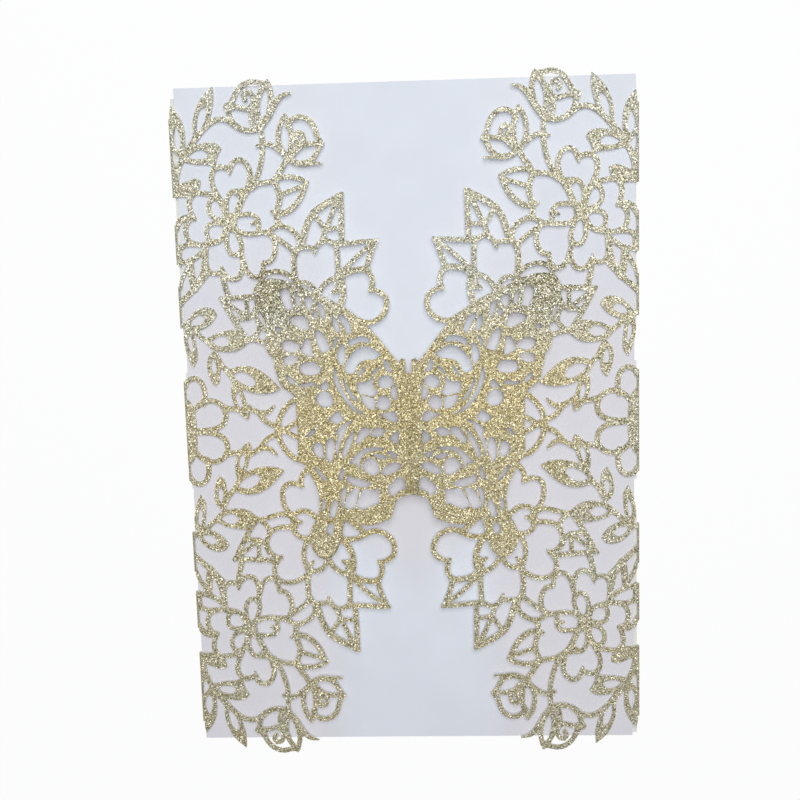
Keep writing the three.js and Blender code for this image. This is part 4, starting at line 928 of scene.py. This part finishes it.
def butterfly(g, slit_up, turn):
    wing = smooth(WING, True)
    holes = [turned(smooth(hole, True), WING_TURN) for hole in WING_HOLES]
    g.add(lower(wing))
    for hole in holes:
        g.cut(lower(hole), LOWER_EASE)
    g.add(turned(wing, turn) * (-1, 1))
    for hole in holes:
        g.cut(turned(hole, turn) * (-1, 1), UPPER_EASE)
    half = smooth([[-0.4, BODY_TOP]] + BODY + [[-0.4, BODY_FOOT]], True)
    g.add(half)
    g.add(half * (-1, 1))
    low, high = (-SLIT_MEET, SLIT_END) if slit_up else (-SLIT_END, SLIT_MEET)
    g.cut(block(-SLIT / 2, SLIT / 2, low, high))
    g.cut(block(-NOTCH / 2, NOTCH / 2, NOTCH_FOOT, NOTCH_END))


def flap_pattern(slit_up, turn):
    """The flap on the right with its own wing, the body, and the other wing on the left."""
    g = Pattern(-46, FOLD_X, -97.5, 97.5)
    lace(g)
    butterfly(g, slit_up, turn)
    edge = FOLD_X - ROUND + 0.03
    g.cut(block(edge, edge + 3, -99, 99))
    return g

# %% [markdown]
# ## The two flaps
# Both are made as a right flap. The left one is then mirrored, which turns its faces inside out, so
# its normals are flipped back.

# %%
flap_right = sheet_from("flap_right", flap_pattern(False, WING_TURN), lift, SHEET_PARTS)
flap_left = sheet_from("flap_left", flap_pattern(True, -WING_TURN), lift, SHEET_PARTS)
flap_left.data.transform(Matrix.Diagonal((-1, 1, 1, 1)))
flap_left.data.flip_normals()

# %% [markdown]
# ## Folds
# The sheet bends round the side of the card in half a turn, in stretches between the openings of the
# lace. Spin would make a round bend. This one is flatter, so half an ellipse is drawn, outside and
# inside, and extruded along y.

# %%
def fold_outline(side):
    """Points of the outline in x and z, outside first, and the finish of each of its sides."""
    top = FLAP_Z + SHEET + FLAP_RISE * ROUND
    middle = top / 2
    way = np.linspace(-math.pi / 2, math.pi / 2, 17)
    outer = [(FOLD_X - ROUND + ROUND * math.cos(a), middle + middle * math.sin(a)) for a in way]
    inner = [(FOLD_X - ROUND + (ROUND - SHEET) * math.cos(a), middle + (middle - SHEET) * math.sin(a))
             for a in way[::-1]]
    kinds = [FOLD] * (len(outer) - 1) + [EDGE] + [UNDER] * (len(inner) - 1) + [EDGE]
    return [(side * x, z) for x, z in outer + inner], kinds


def fold_stretch(bm, side, y0, y1):
    outline, kinds = fold_outline(side)
    ring = [bm.verts.new((x * MM, y0 * MM, z * MM)) for x, z in outline]
    rim = [bm.edges.new(pair) for pair in zip(ring, ring[1:] + ring[:1])]
    grown = bmesh.ops.extrude_edge_only(bm, edges=rim)["geom"]
    corners = [g for g in grown if isinstance(g, bmesh.types.BMVert)]
    bmesh.ops.translate(bm, verts=corners, vec=(0, (y1 - y0) * MM, 0))
    for edge, kind in zip(rim, kinds):
        edge.link_faces[0].material_index = kind
    ends = rim + [g for g in grown if isinstance(g, bmesh.types.BMEdge) and g.is_boundary]
    bmesh.ops.edgeloop_fill(bm, edges=ends, mat_nr=EDGE)


bm = bmesh.new()
for side in (-1, 1):
    for a, b in FOLDED:
        for y0, y1 in ([(a, b)] if a < 0 else [(a, b), (-b, -a)]):
            fold_stretch(bm, side, y0, y1)
bmesh.ops.recalc_face_normals(bm, faces=bm.faces)
side_folds = placed("side_folds", bm, SHEET_PARTS + [GLITTER_SIDE])

# %% [markdown]
# ## Back panel
# A plain rectangle that ends where the folds begin, with two bites in each long edge, where a large
# opening of the lace runs round the fold. It lies face down, with the glitter underneath.

# %%
plain = Pattern(-FOLD_X - 0.5, FOLD_X + 0.5, -BACK_Y - 0.5, BACK_Y + 0.5)
edge = FOLD_X - ROUND
plain.add(block(-edge, edge, -BACK_Y, BACK_Y), 0.01)
for across in (-1, 1):
    for along in (-1, 1):
        x0, x1 = sorted(((FOLD_X - BITE_DEEP) * across, (FOLD_X + 1) * across))
        y0, y1 = sorted((BITE[0] * along, BITE[1] * along))
        plain.cut(block(x0, x1, y0, y1))
back_panel = sheet_from("back_panel", plain, lambda x, y: 0 * x, [REVERSE, CORE, GLITTER_BACK])

# %% [markdown]
# ## Inner card
# It lies loose in the sleeve, a little askew, and bows by a twentieth of a millimetre, enough for its
# shade to vary. A grid has the points for the bow, and the solidify operator adds the thickness.

# %%
bm = bmesh.new()
bmesh.ops.create_grid(bm, x_segments=24, y_segments=36, size=0.5)
for v in bm.verts:
    x, y = v.co.x * 2 * CARD_X, v.co.y * 2 * CARD_Y
    z = CARD_Z + CARD_BOW * math.cos(x / 38 + 0.6) * math.cos(y / 45 - 0.4)
    v.co = Vector((x * math.cos(CARD_TURN) - y * math.sin(CARD_TURN) + CARD_SHIFT[0],
                   x * math.sin(CARD_TURN) + y * math.cos(CARD_TURN) + CARD_SHIFT[1], z)) * MM
bmesh.ops.solidify(bm, geom=bm.faces[:], thickness=CARD_T * MM)
bmesh.ops.recalc_face_normals(bm, faces=bm.faces)
inner_card = placed("inner_card", bm, [CARD])

# %% [markdown]
# ## What stands for what
# Every piece is on the one body of the card. The flaps, folds and back panel stand for the solid of the
# sleeve, and the inner card for its own solid.

# %%
for piece in (flap_right, flap_left, side_folds, back_panel):
    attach(piece, "root")
    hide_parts("gatefold_sleeve")
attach(inner_card, "root")
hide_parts("insert_card")

# %% [markdown]
# ## Floor
# A floor just under the card. For the camera it is mostly plain white, and the rest of its colour
# keeps the card's shadow.

# %%
FLOOR_GAP = 0.05
bm = bmesh.new()
bmesh.ops.create_grid(bm, x_segments=2, y_segments=2, size=3)
bmesh.ops.translate(bm, verts=bm.verts, vec=(0, 0, -FLOOR_GAP * MM))
k = Nodes("floor")
k.shader.inputs["Base Color"].default_value = (0.93, 0.93, 0.93, 1)
k.shader.inputs["Roughness"].default_value = 0.9
glow = k.new("ShaderNodeEmission", Strength=1.0)
seen = k.maths("MULTIPLY", k.new("ShaderNodeLightPath").outputs["Is Camera Ray"], 0.9)
both = k.new("ShaderNodeMixShader")
k.join(seen, both, 0)
k.join(k.shader.outputs["BSDF"], both, 1)
k.join(glow.outputs["Emission"], both, 2)
k.join(both.outputs["Shader"], k.out, "Surface")
floor = placed("floor", bm, [k.m])

# %% [markdown]
# ## Light
# A weak cool sky, a large softbox beyond the top of the card, which is a little brighter there, and a
# smaller one over it for the flakes that face the camera. Only the camera sees the sky as white.

# %%
world = bpy.data.worlds.new("studio")
bpy.context.scene.world = world
world.use_nodes = True
tree = world.node_tree
sky = tree.nodes["Background"]
sky.inputs["Color"].default_value = (0.93, 0.96, 1.0, 1)
sky.inputs["Strength"].default_value = 0.25
white = tree.nodes.new("ShaderNodeBackground")
white.inputs["Color"].default_value = (1, 1, 1, 1)
ray = tree.nodes.new("ShaderNodeLightPath")
either = tree.nodes.new("ShaderNodeMixShader")
tree.links.new(ray.outputs["Is Camera Ray"], either.inputs[0])
tree.links.new(sky.outputs[0], either.inputs[1])
tree.links.new(white.outputs[0], either.inputs[2])
tree.links.new(either.outputs[0], tree.nodes["World Output"].inputs["Surface"])


def lamp(name, at, aim, size, power, colour):
    data = bpy.data.lights.new(name, "AREA")
    data.shape = "DISK"
    data.size, data.energy, data.color = size, power, colour
    made = bpy.data.objects.new(name, data)
    bpy.context.scene.collection.objects.link(made)
    made.location = at
    made.rotation_mode = "QUATERNION"
    made.rotation_quaternion = (Vector(at) - Vector(aim)).to_track_quat("Z", "Y")


lamp("softbox", (0.04, 0.3, 0.6), (0, 0.03, 0), 0.45, 1.95, (0.97, 0.985, 1.0))
lamp("front", (0.02, 0.08, 0.7), (0, 0, 0), 0.3, 1.55, (0.99, 0.99, 1.0))

# %% [markdown]
# ## Camera
# It looks almost straight down from about 27 cm, from a little above and to the right of the card's
# middle. The turns are in radians and the shift in millimetres, both from the card to the camera.
# LENS_PIXELS is for an image 800 pixels wide.

# %%
CAMERA_TURN = (0.126637, -0.040437, 0.025923)
CAMERA_SHIFT = (2.92035, -7.33973, -274.464)
AIM_Z = 2.3
LENS_PIXELS, IMAGE_PIXELS, SENSOR = 999.709, 800, 36
R = (Matrix.Rotation(CAMERA_TURN[2], 3, "Z") @ Matrix.Rotation(CAMERA_TURN[1], 3, "Y")
     @ Matrix.Rotation(CAMERA_TURN[0], 3, "X"))
data = bpy.data.cameras.new("photo_camera")
data.lens, data.sensor_width = LENS_PIXELS * SENSOR / IMAGE_PIXELS, SENSOR
data.clip_start, data.clip_end = 0.01, 20
camera = bpy.data.objects.new("photo_camera", data)
bpy.context.scene.collection.objects.link(camera)
back = R.transposed()
stand = (Vector((0, 0, AIM_Z)) - back @ Vector(CAMERA_SHIFT)) * MM
camera.matrix_world = Matrix.Translation(stand) @ back.to_4x4()
bpy.context.scene.camera = camera
bpy.context.scene.view_settings.view_transform = "Standard"
print("camera at", tuple(round(c, 3) for c in stand))
